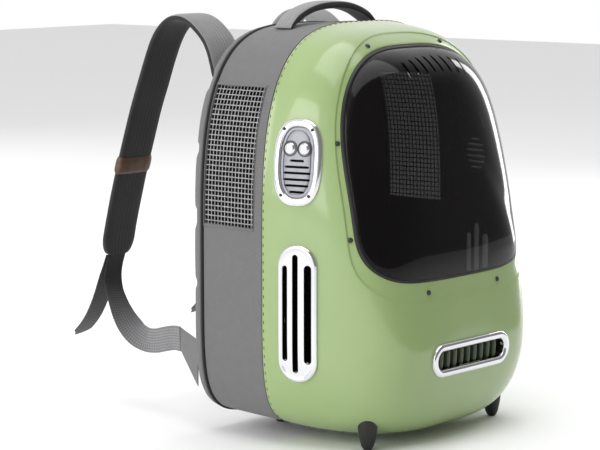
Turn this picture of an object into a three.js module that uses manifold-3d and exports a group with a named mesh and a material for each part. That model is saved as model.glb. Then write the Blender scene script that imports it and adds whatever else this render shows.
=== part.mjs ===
// Bubble pet carrier backpack, in millimetres, +Z up, the front facing -Y.
// A moulded front shell with a smoked dome closes a fabric gusset with a net window in each side.
// A padded back panel carries two shoulder straps, which end in webbing sewn to two lower tabs.
import * as THREE from "three";
import { mergeVertices } from "three/addons/utils/BufferGeometryUtils.js";
import Module from "manifold-3d";

const wasm = await Module();
wasm.setup();

// Clearance between neighbouring pieces
const GAP = 0.3;

// Outline of the bag at the seam between shell and gusset, seen from the front
const SEAM_PLANE = -44.6;
const SEAM_HALF_WIDTH = 154.2;
const SEAM_WAIST_HEIGHT = 185;
const SEAM_TOP_HEIGHT = 403.5;
const SEAM_BOTTOM_HEIGHT = 12;
const SEAM_TOP_POWER = 3.2;
const SEAM_BOTTOM_POWER = 6;

// Front shell: how its outline fades towards the nose
const SHELL_DEPTH = 138.6;
const SHELL_WALL = 3;
const NOSE_HEIGHT = 94.8;
const NOSE_BLEND = 3;
const NOSE_TOP_POWER = 1.5;
const NOSE_BOTTOM_POWER = 2.47;
const TOP_POWER_FADE = 0.67;
const TOP_POWER_SWELL = 1.57;
const WAIST_FADE = 0.77;
const FADES = {
  width: { start: 1.56, end: 5.2, swell: -0.8 },
  top: { start: 3.74, end: 0.85, swell: -8.4 },
  bottom: { start: 10.7, end: 1.32, swell: -5.3 },
};

// Window opening in the shell, the recessed flange round it, and its gasket
const WINDOW_MID_HEIGHT = 238;
const WINDOW = { halfWidth: 128.6, above: 144.3, below: 78, topPower: 3, bottomPower: 4.9 };
const FLANGE = { halfWidth: 133.5, above: 156, below: 98, topPower: 2.75, bottomPower: 5.2 };
const FLANGE_STEP = 1;
const GASKET_WIDTH = 2.2;
const GASKET_DEPTH = 3;
const GASKET_SINK = 0.8;

// Dome: its crest line and how it rises from the rim
const DOME_WALL = 2.4;
const DOME_CREST_HEIGHT = 330;
const DOME_CREST_DEPTH = 105.4;
const DOME_LEAN = 0.06;
const DOME_BELLY = 4.67;
const DOME_BELLY_SPAN = 100;
const DOME_RISE_START = 2.22;
const DOME_RISE_END = 1.48;

// Slots near the top of the dome
const DOME_SLOT_COUNT = 8;
const DOME_SLOT_PITCH = 12.6;
const DOME_SLOT_WIDTH = 3;
const DOME_SLOT_TOP = 372;
const DOME_SLOT_BOTTOM = 357;
const DOME_SLOT_DROP = 4.5;

// Screws round the window
const SCREW_ANGLES = [68, 24, -14, -57];
const SCREW_HEAD_RADIUS = 2.4;
const SCREW_SEAT = 0.6;
const SCREW_HEAD_HEIGHT = 1.6;
const SCREW_SHANK_RADIUS = 1.3;
const SCREW_SHANK_LENGTH = 6;

// Fabric gusset between the shell and the back panel
const GUSSET_BACK = 33.4;
const GUSSET_WALL = 2.5;
const GUSSET_TAPER = { sides: 4.2, top: 4, bottom: 3 };

// Net window in each side of the gusset
const NET_HALF_DEPTH = 32.2;
const NET_BOTTOM = 210;
const NET_TOP = 343.8;
const NET_WALL = 1.4;
const NET_SINK = 0.5;
const NET_COLUMNS = 4;
const NET_ROWS = 5;
const NET_BAR = 2.4;

// Piping and padded back panel
const PIPING_DEPTH = 3.8;
const PIPING_WALL = 3;
const PANEL_THICKNESS = 7.2;
const PAD_HEIGHT = 2.5;
const PANEL_EDGE_ROUND = 3;
const PAD_GROOVES = [
  { bottom: 146, top: 154 },
  { bottom: 206, top: 225 },
  { bottom: 276, top: 287 },
  { bottom: 338, top: 354 },
];

// Top handle
const HANDLE_HALF_SPAN = 68;
const HANDLE_WIDTH = 22;
const HANDLE_THICKNESS = 8;
const HANDLE_END_THICKNESS = 3;
const HANDLE_TOP = 422.5;
const HANDLE_STEPS = 20;
const HANDLE_ARCH = { start: 2.3, end: 0.8, swell: 2.2 };

// Shoulder straps: centre line of each strap seen from the side
const STRAP_OFFSET = 91;
const STRAP_WIDTH = 45;
const STRAP_THICKNESS = 7.5;
const STRAP_END_ROUND = 20;
const STRAP_ROUTE = [
  { depth: 44, height: 340 },
  { depth: 51.5, height: 350 },
  { depth: 55, height: 361 },
  { depth: 59, height: 373 },
  { depth: 65, height: 384 },
  { depth: 74, height: 393.5 },
  { depth: 85, height: 401.5 },
  { depth: 96, height: 405.8 },
  { depth: 107, height: 406 },
  { depth: 116, height: 402.5 },
  { depth: 123.5, height: 396.5 },
  { depth: 130, height: 389 },
  { depth: 136, height: 379 },
  { depth: 144, height: 361 },
  { depth: 153, height: 338 },
  { depth: 163.5, height: 311 },
  { depth: 173.5, height: 281 },
  { depth: 181.5, height: 256 },
  { depth: 188.5, height: 233 },
  { depth: 196, height: 206 },
  { depth: 202.5, height: 180 },
  { depth: 206.5, height: 158 },
];
const STRAP_BAND = { bottom: 245, top: 262, wall: 1.6 };

// Webbing: the adjusting run to the lower tab and the loose tail
const WEBBING_WIDTH = 25;
const WEBBING_THICKNESS = 1.6;
const WEBBING_ROUTE = [
  { side: 92, depth: 205.6, height: 157.4, twist: 0 },
  { side: 92, depth: 209.5, height: 146, twist: 0 },
  { side: 93, depth: 210.5, height: 134, twist: 0 },
  { side: 95, depth: 206.8, height: 121, twist: 0 },
  { side: 98, depth: 197.5, height: 107.5, twist: 0.1 },
  { side: 102, depth: 185.3, height: 94.7, twist: 0.3 },
  { side: 105, depth: 174, height: 86, twist: 0.5 },
  { side: 108, depth: 161.5, height: 79.6, twist: 0.72 },
  { side: 111, depth: 146, height: 76.6, twist: 0.88 },
  { side: 115, depth: 130, height: 78, twist: 0.96 },
  { side: 119, depth: 114, height: 82, twist: 1 },
  { side: 123, depth: 98, height: 85.6, twist: 1 },
  { side: 127.6, depth: 85, height: 86.6, twist: 1 },
];
const TAIL_ROUTE = [
  { side: 92, depth: 208.7, height: 157.4, twist: 0 },
  { side: 92, depth: 213.5, height: 146, twist: 0 },
  { side: 92, depth: 219, height: 134, twist: 0 },
  { side: 92, depth: 225.5, height: 118, twist: 0 },
  { side: 92, depth: 232.5, height: 103, twist: 0 },
  { side: 92, depth: 241.5, height: 88.4, twist: 0 },
  { side: 92, depth: 252, height: 76.6, twist: 0 },
  { side: 92, depth: 260.5, height: 69.6, twist: 0 },
  { side: 92, depth: 266.5, height: 66.6, twist: 0 },
];
const TAIL_POINT_LENGTH = 12;

// Lower tab: its sewn root on the back panel and its free edge
const TAB_THICKNESS = 2.4;
const TAB_ROOT = { side: 143, bottom: 45, top: 92 };
const TAB_EDGE = { side: 128, depth: 84.2, bottom: 75, top: 98.5 };

// Oval unit high on each side of the shell, with a control plate on the left
const UNIT = { depth: -81.5, height: 276.5, width: 51, tall: 83, ring: 8, columns: 3, rows: 5 };
const BEZEL_SEAT = 0.6;
const BEZEL_RISE = 3;
const PLATE_RISE = 1;
const PLATE_THICKNESS = 3.4;
const PLATE_SLOTS = [
  { drop: -1.6, width: 15 },
  { drop: 4.3, width: 26 },
  { drop: 10, width: 29 },
  { drop: 16.2, width: 29 },
  { drop: 21.9, width: 26 },
  { drop: 27.9, width: 16 },
];
const PLATE_SLOT_HEIGHT = 2.2;

// Push buttons on the control plate
const BUTTON_RADIUS = 6;
const BUTTON_SPACING = 15;
const BUTTON_RAISE = 13;
const BUTTON_PROUD = 3.4;
const BUTTON_DEPTH = 4;

// Tall vent low on each side of the shell
const VENT = { depth: -84.5, height: 132.6, width: 41.5, tall: 132.5, columns: 2, rows: 5 };
const VENT_FLANGE = 3.5;
const VENT_SLOTS = [
  { across: -13.5, width: 5.5, tall: 90 },
  { across: -1.8, width: 6.1, tall: 113 },
  { across: 12, width: 8, tall: 93 },
];

// Grille low on the front of the shell
const GRILLE = { height: 84, width: 126, tall: 33, ring: 8, columns: 4, rows: 1 };
const LOUVRE_COUNT = 9;
const LOUVRE_PITCH = 11;
const LOUVRE_GAP = 5;
const LOUVRE_SINK = 1;
const LOUVRE_MARGIN = 2.5;

// Feet
const FRONT_FOOT = { side: 103.5, depth: -133.4, top: 34 };
const FRONT_FOOT_PROFILE = [
  { radius: 4.4, height: 0 },
  { radius: 6.6, height: 4 },
  { radius: 8.6, height: 15 },
  { radius: 10, height: 27 },
];
const REAR_STUD = { side: 50, depth: 15, radius: 8, top: 20 };

// How finely the curved walls are cut into faces
const UPPER_STEPS = 18;
const LOWER_STEPS = 28;
const UPPER_SPREAD = 3;
const LOWER_SPREAD = 2.7;
const SHELL_ROWS = [0, 0.28, 0.45, 0.58, 0.7, 0.84];
const DOME_ROWS = 5;

// How a point on a surface is searched for: halvings of the way, and how far the way reaches
const HALVINGS = 44;
const RAY_REACH = 500;

const clothGrey = new THREE.MeshStandardMaterial({ color: 0x868686, roughness: 0.9 });
const darkCloth = new THREE.MeshStandardMaterial({ color: 0x333333, roughness: 0.9 });
const tanBand = new THREE.MeshStandardMaterial({ color: 0x785a3e, roughness: 0.7 });
const greenPlastic = new THREE.MeshStandardMaterial({ color: 0xa3be80, roughness: 0.25 });
const greyPlastic = new THREE.MeshStandardMaterial({ color: 0x9a9aa0, roughness: 0.4 });
const darkPlastic = new THREE.MeshStandardMaterial({ color: 0x25281f, roughness: 0.5 });
const chrome = new THREE.MeshStandardMaterial({ color: 0xd8d8dc, roughness: 0.1, metalness: 1 });
const smoke = new THREE.MeshStandardMaterial({
  color: 0x2a2323,
  roughness: 0.05,
  transparent: true,
  opacity: 0.6,
});
const rubber = new THREE.MeshStandardMaterial({ color: 0x161616, roughness: 0.6 });

const carrier = new THREE.Group();

// Mesh helpers

function signedVolume(points, faces) {
  let sum = 0;
  for (const [a, b, c] of faces) {
    const [p, q, r] = [points[a], points[b], points[c]];
    sum += p[0] * (q[1] * r[2] - q[2] * r[1]);
    sum -= p[1] * (q[0] * r[2] - q[2] * r[0]);
    sum += p[2] * (q[0] * r[1] - q[1] * r[0]);
  }
  return sum / 6;
}

function geometryFrom(points, faces) {
  const turned = signedVolume(points, faces) < 0;
  const index = faces.flatMap(([a, b, c]) => (turned ? [a, c, b] : [a, b, c]));
  const geometry = new THREE.BufferGeometry();
  geometry.setAttribute("position", new THREE.Float32BufferAttribute(points.flat(), 3));
  geometry.setIndex(index);
  return geometry;
}

// Joins rings of equal length into one body: capped at both ends, or closed end to end
function loft(rings, closed = false) {
  const count = rings[0].length;
  const points = rings.flat();
  const faces = [];
  const rows = closed ? rings.length : rings.length - 1;
  for (let row = 0; row < rows; row += 1) {
    const next = (row + 1) % rings.length;
    for (let i = 0; i < count; i += 1) {
      const j = (i + 1) % count;
      const corners = [row * count + i, row * count + j, next * count + j, next * count + i];
      faces.push([corners[0], corners[1], corners[2]], [corners[0], corners[2], corners[3]]);
    }
  }
  if (!closed) {
    for (const [row, flip] of [[0, true], [rings.length - 1, false]]) {
      const ring = rings[row];
      const middle = [0, 1, 2].map((k) => ring.reduce((sum, p) => sum + p[k], 0) / count);
      const centre = points.push(middle) - 1;
      for (let i = 0; i < count; i += 1) {
        const a = row * count + i;
        const b = row * count + ((i + 1) % count);
        faces.push(flip ? [centre, b, a] : [centre, a, b]);
      }
    }
  }
  return geometryFrom(points, faces);
}

function toSolid(geometry) {
  const bare = geometry.clone();
  bare.deleteAttribute("normal");
  bare.deleteAttribute("uv");
  const merged = mergeVertices(bare, 1e-4);
  const vertProperties = new Float32Array(merged.attributes.position.array);
  const triVerts = new Uint32Array(merged.index.array);
  return new wasm.Manifold(new wasm.Mesh({ numProp: 3, vertProperties, triVerts }));
}

function toGeometry(solid) {
  const mesh = solid.getMesh();
  const geometry = new THREE.BufferGeometry();
  geometry.setAttribute("position", new THREE.BufferAttribute(mesh.vertProperties, 3));
  geometry.setIndex(new THREE.BufferAttribute(mesh.triVerts, 1));
  return geometry;
}

function mirrored(geometry) {
  const flat = geometry.clone();
  flat.scale(-1, 1, 1);
  const index = Array.from(flat.index.array);
  for (let i = 0; i < index.length; i += 3) {
    [index[i + 1], index[i + 2]] = [index[i + 2], index[i + 1]];
  }
  flat.setIndex(index);
  return flat;
}

function add(name, geometry, material) {
  const flat = geometry.toNonIndexed();
  flat.computeVertexNormals();
  const mesh = new THREE.Mesh(flat, material);
  mesh.name = name;
  carrier.add(mesh);
}

// Adds a left piece and its mirror image on the right
function addPair(name, leftGeometry, material) {
  add(`${name}_left`, leftGeometry, material);
  add(`${name}_right`, mirrored(leftGeometry), material);
}

function boxSolid(low, high) {
  const size = high.map((value, k) => value - low[k]);
  const box = new THREE.BoxGeometry(...size);
  box.translate(...high.map((value, k) => (value + low[k]) / 2));
  return toSolid(box);
}

// Outline helpers

function superellipseRadius(shape, angle) {
  const power = Math.sin(angle) > 0 ? shape.topPower : shape.bottomPower;
  const height = Math.sin(angle) > 0 ? shape.above : shape.below;
  const across = Math.abs(Math.cos(angle)) / shape.halfWidth;
  const along = Math.abs(Math.sin(angle)) / height;
  return (across ** power + along ** power) ** (-1 / power);
}

// Polar angles round the middle of the window, closer together at the corners
const rimAngles = Array.from({ length: UPPER_STEPS + LOWER_STEPS }, (_, i) => {
  const lower = i >= UPPER_STEPS;
  const turn = lower ? Math.PI * (1 + (i - UPPER_STEPS) / LOWER_STEPS) : (Math.PI * i) / UPPER_STEPS;
  const bend = 2 / (lower ? LOWER_SPREAD : UPPER_SPREAD);
  const across = Math.sign(Math.cos(turn)) * Math.abs(Math.cos(turn)) ** bend;
  const along = Math.sign(Math.sin(turn)) * Math.abs(Math.sin(turn)) ** bend;
  return Math.atan2(along, across);
});

// Front shell surface

function fade(share, { start, end }) {
  return Math.max(1 - share ** start, 0) ** (1 / end);
}

// Says whether a point is inside the shell's outer surface grown by a distance
function insideShell(x, y, z, grow) {
  const depth = SEAM_PLANE - y;
  const reach = SHELL_DEPTH + grow;
  if (depth > reach - NOSE_BLEND) return false;
  const left = Math.sqrt(Math.max((reach - depth) ** 2 - NOSE_BLEND ** 2, 0));
  const share = Math.min(Math.max(1 - left / reach, 0), 1);
  const swell = Math.sin(Math.PI * share);
  const halfWidth = SEAM_HALF_WIDTH * fade(share, FADES.width) + FADES.width.swell * swell + grow;
  const topSpan = (SEAM_TOP_HEIGHT - NOSE_HEIGHT) * fade(share, FADES.top);
  const top = NOSE_HEIGHT + topSpan + FADES.top.swell * swell + grow;
  const bottomSpan = (SEAM_BOTTOM_HEIGHT - NOSE_HEIGHT) * fade(share, FADES.bottom);
  const bottom = NOSE_HEIGHT + bottomSpan + FADES.bottom.swell * swell - grow;
  const waist = SEAM_WAIST_HEIGHT + (NOSE_HEIGHT - SEAM_WAIST_HEIGHT) * share ** WAIST_FADE;
  const topPower =
    SEAM_TOP_POWER +
    (NOSE_TOP_POWER - SEAM_TOP_POWER) * share ** TOP_POWER_FADE +
    TOP_POWER_SWELL * swell;
  const bottomPower = SEAM_BOTTOM_POWER + (NOSE_BOTTOM_POWER - SEAM_BOTTOM_POWER) * share;
  const power = z > waist ? topPower : bottomPower;
  const span = z > waist ? top - waist : waist - bottom;
  const across = Math.abs(x) / Math.max(halfWidth, 1e-6);
  const along = Math.abs(z - waist) / Math.max(span, 1e-6);
  return across ** power + along ** power < 1;
}

function lastInside(test, near, far) {
  let [low, high] = [near, far];
  for (let step = 0; step < HALVINGS; step += 1) {
    const middle = (low + high) / 2;
    if (test(middle)) low = middle;
    else high = middle;
  }
  return (low + high) / 2;
}

// Depth coordinate of the shell in front of a point of the front view
function shellFront(x, z, grow) {
  return lastInside((y) => insideShell(x, y, z, grow), SEAM_PLANE, SEAM_PLANE - SHELL_DEPTH - 20);
}

// Half width of the shell beside a point of the side view
function shellSide(y, z, grow) {
  return lastInside((x) => insideShell(x, y, z, grow), 0, SEAM_HALF_WIDTH + 40);
}

// Point where a ray from the middle of the seam plane leaves the shell
function shellRay(angle, lift, grow) {
  const way = [Math.cos(angle) * Math.cos(lift), -Math.sin(lift), Math.sin(angle) * Math.cos(lift)];
  const at = (r) => [way[0] * r, SEAM_PLANE + way[1] * r, WINDOW_MID_HEIGHT + way[2] * r];
  return at(lastInside((r) => insideShell(...at(r), grow), 0, RAY_REACH));
}

// Point of the shell on an outline drawn in the front view, and the lift of its ray
function shellAtRim(angle, radius, grow) {
  const x = radius * Math.cos(angle);
  const z = WINDOW_MID_HEIGHT + radius * Math.sin(angle);
  const y = shellFront(x, z, grow);
  return { point: [x, y, z], lift: Math.atan2(SEAM_PLANE - y, radius) };
}

// Rings from the seam to an outline in the front view
function shellRings(outline, grow) {
  const ends = rimAngles.map((a) => shellAtRim(a, superellipseRadius(outline, a), grow));
  const rings = SHELL_ROWS.map((share) =>
    rimAngles.map((a, i) => shellRay(a, ends[i].lift * share, grow)),
  );
  rings.push(ends.map((end) => end.point));
  return rings;
}

// Closed bowl of the shell's outer surface, grown by a distance, for cutting
function shellBowl(grow) {
  return toSolid(loft(shellRings(FLANGE, grow)));
}

// Unit outward normal of the shell at a point on it
function shellNormal([x, y, z]) {
  const step = 1.5;
  const away = new THREE.Vector3(x, y - SEAM_PLANE, z - WINDOW_MID_HEIGHT).normalize();
  const aside = new THREE.Vector3(0, 0, 1).cross(away).normalize();
  const aloft = new THREE.Vector3().crossVectors(away, aside);
  const at = (direction, size) => {
    const way = away.clone().addScaledVector(direction, size).normalize();
    const spot = (r) => [way.x * r, SEAM_PLANE + way.y * r, WINDOW_MID_HEIGHT + way.z * r];
    return new THREE.Vector3(...spot(lastInside((r) => insideShell(...spot(r), 0), 0, RAY_REACH)));
  };
  const size = step / 100;
  const across = at(aside, size).sub(at(aside, -size));
  const along = at(aloft, size).sub(at(aloft, -size));
  const normal = across.cross(along).normalize();
  return normal.dot(away) < 0 ? normal.negate() : normal;
}

// Matrix that stands a flat drawing on the shell: X along the surface, Y up, Z outwards
function standOn(point, normal) {
  const up = new THREE.Vector3(0, 0, 1).addScaledVector(normal, -normal.z).normalize();
  const aside = new THREE.Vector3().crossVectors(up, normal);
  return new THREE.Matrix4().makeBasis(aside, up, normal).setPosition(...point);
}

// Rounded rectangle with half-round ends on its short sides, as a drawing
function capsule(width, tall, x = 0, y = 0) {
  const radius = Math.min(width, tall) / 2;
  const shape = new THREE.Shape();
  const [w, t] = [width / 2 - radius, tall / 2 - radius];
  shape.absarc(x + w, y + t, radius, 0, Math.PI / 2, false);
  shape.absarc(x - w, y + t, radius, Math.PI / 2, Math.PI, false);
  shape.absarc(x - w, y - t, radius, Math.PI, 1.5 * Math.PI, false);
  shape.absarc(x + w, y - t, radius, 1.5 * Math.PI, 2 * Math.PI, false);
  return shape;
}

// Oval with nearly straight sides, as a drawing
function oval(width, tall, power = 2.7, steps = 20) {
  const shape = new THREE.Shape();
  for (let i = 0; i < steps; i += 1) {
    const turn = (2 * Math.PI * i) / steps;
    const bend = 2 / power;
    const x = (Math.sign(Math.cos(turn)) * Math.abs(Math.cos(turn)) ** bend * width) / 2;
    const y = (Math.sign(Math.sin(turn)) * Math.abs(Math.sin(turn)) ** bend * tall) / 2;
    if (i === 0) shape.moveTo(x, y);
    else shape.lineTo(x, y);
  }
  shape.closePath();
  return shape;
}

// Prism of a drawing that stands on the shell, reaching in and out of it
function prism(shape, place, inwards, outwards, curveSegments = 3) {
  const options = { depth: inwards + outwards, bevelEnabled: false, curveSegments };
  const geometry = new THREE.ExtrudeGeometry(shape, options);
  geometry.translate(0, 0, -inwards);
  geometry.applyMatrix4(place);
  return toSolid(geometry);
}

// Front shell with its window, holes and flange

const REACH = 30;

// Point of the shell, grown by a distance, over a point of a drawing that stands on it
function seatPoint(place, across, along, grow) {
  const at = (t) => new THREE.Vector3(across, along, t).applyMatrix4(place).toArray();
  return at(lastInside((t) => insideShell(...at(t), grow), -REACH, REACH));
}

// Curved slab between two heights over the shell, under a rectangle of a drawing
function slab(place, { width, tall, columns, rows }, low, high) {
  const skin = (grow) => {
    const grid = [];
    for (let row = 0; row <= rows; row += 1) {
      for (let column = 0; column <= columns; column += 1) {
        const across = (column / columns - 0.5) * (width + 2);
        const along = (row / rows - 0.5) * (tall + 2);
        grid.push(seatPoint(place, across, along, grow));
      }
    }
    return grid;
  };
  const points = [...skin(high), ...skin(low)];
  const under = points.length / 2;
  const spot = (row, column) => row * (columns + 1) + column;
  const faces = [];
  for (let row = 0; row < rows; row += 1) {
    for (let column = 0; column < columns; column += 1) {
      const [a, b] = [spot(row, column), spot(row, column + 1)];
      const [c, d] = [spot(row + 1, column + 1), spot(row + 1, column)];
      faces.push([a, b, c], [a, c, d]);
      faces.push([a + under, c + under, b + under], [a + under, d + under, c + under]);
    }
  }
  const border = [];
  for (let column = 0; column < columns; column += 1) border.push(spot(0, column));
  for (let row = 0; row < rows; row += 1) border.push(spot(row, columns));
  for (let column = columns; column > 0; column -= 1) border.push(spot(rows, column));
  for (let row = rows; row > 0; row -= 1) border.push(spot(row, 0));
  border.forEach((p, i) => {
    const q = border[(i + 1) % border.length];
    faces.push([q, p, p + under], [q, p + under, q + under]);
  });
  return toSolid(geometryFrom(points, faces));
}

function sidePlace({ depth, height }) {
  const point = [-shellSide(depth, height, 0), depth, height];
  return { place: standOn(point, shellNormal(point)), normal: shellNormal(point) };
}

const unit = sidePlace(UNIT);
const vent = sidePlace(VENT);
const grillePoint = [0, shellFront(0, GRILLE.height, 0), GRILLE.height];
const grillePlace = standOn(grillePoint, new THREE.Vector3(0, -1, 0));

const plateWidth = UNIT.width - 2 * UNIT.ring;
const plateTall = UNIT.tall - 2 * UNIT.ring;
const ventHole = { width: VENT.width - 2 * VENT_FLANGE, tall: VENT.tall - 2 * VENT_FLANGE };
const grilleHole = { width: GRILLE.width - 2 * GRILLE.ring, tall: GRILLE.tall - 2 * GRILLE.ring };

function screwSpots() {
  return [-1, 1].flatMap((side) =>
    SCREW_ANGLES.map((degrees) => {
      const tilt = THREE.MathUtils.degToRad(degrees);
      const angle = side > 0 ? tilt : Math.PI - tilt;
      const inner = superellipseRadius(WINDOW, angle);
      const outer = superellipseRadius(FLANGE, angle);
      const { point } = shellAtRim(angle, (inner + outer) / 2, -FLANGE_STEP);
      return { side, degrees, point, normal: shellNormal(point) };
    }),
  );
}

function shellBody() {
  const outer = shellRings(FLANGE, 0);
  const rim = (outline, share, grow) =>
    rimAngles.map((a) => {
      const flange = superellipseRadius(FLANGE, a);
      const opening = superellipseRadius(outline, a);
      return shellAtRim(a, flange + (opening - flange) * share, grow).point;
    });
  const recess = [0, 1].map((share) => rim(WINDOW, share, -FLANGE_STEP));
  const inner = shellRings(WINDOW, -SHELL_WALL).reverse();
  return toSolid(loft([...outer, ...recess, ...inner], true));
}

function bothSides(leftSolid) {
  return leftSolid.add(toSolid(mirrored(toGeometry(leftSolid))));
}

function buildShell() {
  let body = shellBody();
  const unitHole = prism(oval(plateWidth + 2 * GAP, plateTall + 2 * GAP), unit.place, REACH, REACH);
  body = body.subtract(bothSides(unitHole));
  const ventCut = capsule(ventHole.width + 2 * GAP, ventHole.tall + 2 * GAP);
  body = body.subtract(bothSides(prism(ventCut, vent.place, REACH, REACH)));
  const mouth = capsule(grilleHole.width + 2 * GAP, grilleHole.tall + 2 * GAP);
  body = body.subtract(prism(mouth, grillePlace, REACH, REACH));
  for (const { point, normal } of screwSpots()) {
    const bore = SCREW_SHANK_RADIUS + 2 * GAP;
    const hole = new THREE.CylinderGeometry(bore, bore, 2 * SCREW_SHANK_LENGTH + 4, 6);
    hole.rotateX(Math.PI / 2);
    hole.applyMatrix4(standOn(point, normal));
    body = body.subtract(toSolid(hole));
  }
  add("front_shell", toGeometry(body), greenPlastic);
}

// Screws round the window

function buildScrews() {
  const profile = [
    [0, -SCREW_SHANK_LENGTH],
    [SCREW_SHANK_RADIUS, -SCREW_SHANK_LENGTH],
    [SCREW_SHANK_RADIUS, SCREW_SEAT],
    [SCREW_HEAD_RADIUS, SCREW_SEAT],
    [SCREW_HEAD_RADIUS * 0.85, SCREW_SEAT + SCREW_HEAD_HEIGHT * 0.6],
    [SCREW_HEAD_RADIUS * 0.45, SCREW_SEAT + SCREW_HEAD_HEIGHT],
    [0, SCREW_SEAT + SCREW_HEAD_HEIGHT],
  ].map(([r, h]) => new THREE.Vector2(r, h));
  for (const { side, degrees, point, normal } of screwSpots()) {
    const screw = mergeVertices(bare(new THREE.LatheGeometry(profile, 6)));
    screw.rotateX(Math.PI / 2);
    screw.applyMatrix4(standOn(point, normal));
    const hand = side > 0 ? "right" : "left";
    const level = SCREW_ANGLES.indexOf(degrees) + 1;
    add(`window_screw_${hand}_${level}`, toGeometry(toSolid(screw)), darkPlastic);
  }
}

function bare(geometry) {
  const copy = geometry.clone();
  copy.deleteAttribute("normal");
  copy.deleteAttribute("uv");
  return copy;
}

// Gasket and dome

function insetWindow(inset) {
  return {
    ...WINDOW,
    halfWidth: WINDOW.halfWidth - inset,
    above: WINDOW.above - inset,
    below: WINDOW.below - inset,
  };
}

function buildGasket() {
  const ring = (inset, sink) =>
    rimAngles.map((a) => {
      const { point } = shellAtRim(a, superellipseRadius(insetWindow(inset), a), -FLANGE_STEP);
      return [point[0], point[1] + sink, point[2]];
    });
  const [near, far] = [GAP, GAP + GASKET_WIDTH];
  const rings = [
    ring(near, GASKET_SINK),
    ring(far, GASKET_SINK),
    ring(far, GASKET_SINK + GASKET_DEPTH),
    ring(near, GASKET_SINK + GASKET_DEPTH),
  ];
  add("window_gasket", loft(rings, true), rubber);
}

// Outer surface of the dome: share 0 at the crest and 1 at the rim
function domePoint(angle, share, inset, sink) {
  const rim = shellAtRim(angle, superellipseRadius(insetWindow(inset), angle), -FLANGE_STEP).point;
  const x = rim[0] * share;
  const z = DOME_CREST_HEIGHT + (rim[2] - DOME_CREST_HEIGHT) * share;
  const rise = Math.max(1 - share ** DOME_RISE_START, 0) ** (1 / DOME_RISE_END);
  const drop = z - DOME_CREST_HEIGHT;
  const belly = DOME_BELLY * (drop / DOME_BELLY_SPAN) ** 2;
  const crest = SEAM_PLANE - DOME_CREST_DEPTH + DOME_LEAN * drop - belly;
  return [x, rim[1] * (1 - rise) + crest * rise + sink, z];
}

function buildDome() {
  const inset = 2 * GAP + GASKET_WIDTH;
  const shares = Array.from({ length: DOME_ROWS }, (_, i) => Math.sin(((i + 0.5) * Math.PI) / 2 / DOME_ROWS));
  shares.push(1);
  const skin = (extra, sink) =>
    shares.map((share) => rimAngles.map((a) => domePoint(a, share, inset + extra, sink)));
  let body = toSolid(loft(skin(0, 0))).subtract(
    toSolid(loft(skin(DOME_WALL, DOME_WALL))).add(
      toSolid(loft([skin(DOME_WALL, DOME_WALL).at(-1), skin(DOME_WALL, DOME_WALL + REACH).at(-1)])),
    ),
  );
  for (let i = 0; i < DOME_SLOT_COUNT; i += 1) {
    const x = (i - (DOME_SLOT_COUNT - 1) / 2) * DOME_SLOT_PITCH;
    const end = ((DOME_SLOT_COUNT - 1) / 2) * DOME_SLOT_PITCH;
    const drop = DOME_SLOT_DROP * (x / end) ** 2;
    const half = DOME_SLOT_WIDTH / 2;
    const low = [x - half, SEAM_PLANE - DOME_CREST_DEPTH - REACH, DOME_SLOT_BOTTOM - drop];
    const high = [x + half, SEAM_PLANE - REACH, DOME_SLOT_TOP - drop];
    body = body.subtract(boxSolid(low, high));
  }
  add("dome_window", toGeometry(body), smoke);
}

// Units let into the shell: each has a raised rim that follows the surface

function onShell(outline, place, size, low, high) {
  return prism(outline, place, REACH, REACH).intersect(slab(place, size, low, high));
}

function raisedRim(outline, hole, place, size) {
  outline.holes.push(hole);
  return onShell(outline, place, size, BEZEL_SEAT, BEZEL_RISE);
}

function buildUnits() {
  const ring = raisedRim(
    oval(UNIT.width, UNIT.tall),
    oval(plateWidth + 2 * GAP, plateTall + 2 * GAP),
    unit.place,
    UNIT,
  );
  addPair("unit_bezel", toGeometry(ring), chrome);
  const face = oval(plateWidth, plateTall);
  let plate = onShell(face, unit.place, UNIT, PLATE_RISE - PLATE_THICKNESS, PLATE_RISE);
  for (const { drop, width } of PLATE_SLOTS) {
    const slot = capsule(width, PLATE_SLOT_HEIGHT, 0, -drop);
    plate = plate.subtract(prism(slot, unit.place, REACH, REACH, 1));
  }
  add("vent_plate_right", mirrored(toGeometry(plate)), greyPlastic);
  for (const side of [-1, 1]) {
    const x = (side * BUTTON_SPACING) / 2;
    const bore = new THREE.Shape();
    bore.absarc(x, BUTTON_RAISE, BUTTON_RADIUS + GAP, 0, 2 * Math.PI, false);
    plate = plate.subtract(prism(bore, unit.place, REACH, REACH, 14));
    add(side < 0 ? "push_button_rear" : "push_button_front", buttonGeometry(x), chrome);
  }
  add("control_plate_left", toGeometry(plate), greyPlastic);
}

function buttonGeometry(x) {
  const arc = Array.from({ length: 5 }, (_, i) => {
    const turn = (i * Math.PI) / 8;
    return [BUTTON_RADIUS * Math.cos(turn), BUTTON_PROUD * Math.sin(turn)];
  });
  arc[arc.length - 1][0] = 0;
  const profile = [[0, -BUTTON_DEPTH], [BUTTON_RADIUS, -BUTTON_DEPTH], ...arc];
  const button = new THREE.LatheGeometry(profile.map(([r, h]) => new THREE.Vector2(r, h)), 14);
  button.rotateX(Math.PI / 2);
  const seat = seatPoint(unit.place, x, BUTTON_RAISE, PLATE_RISE);
  button.applyMatrix4(unit.place.clone().setPosition(...seat));
  return toGeometry(toSolid(button));
}

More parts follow.
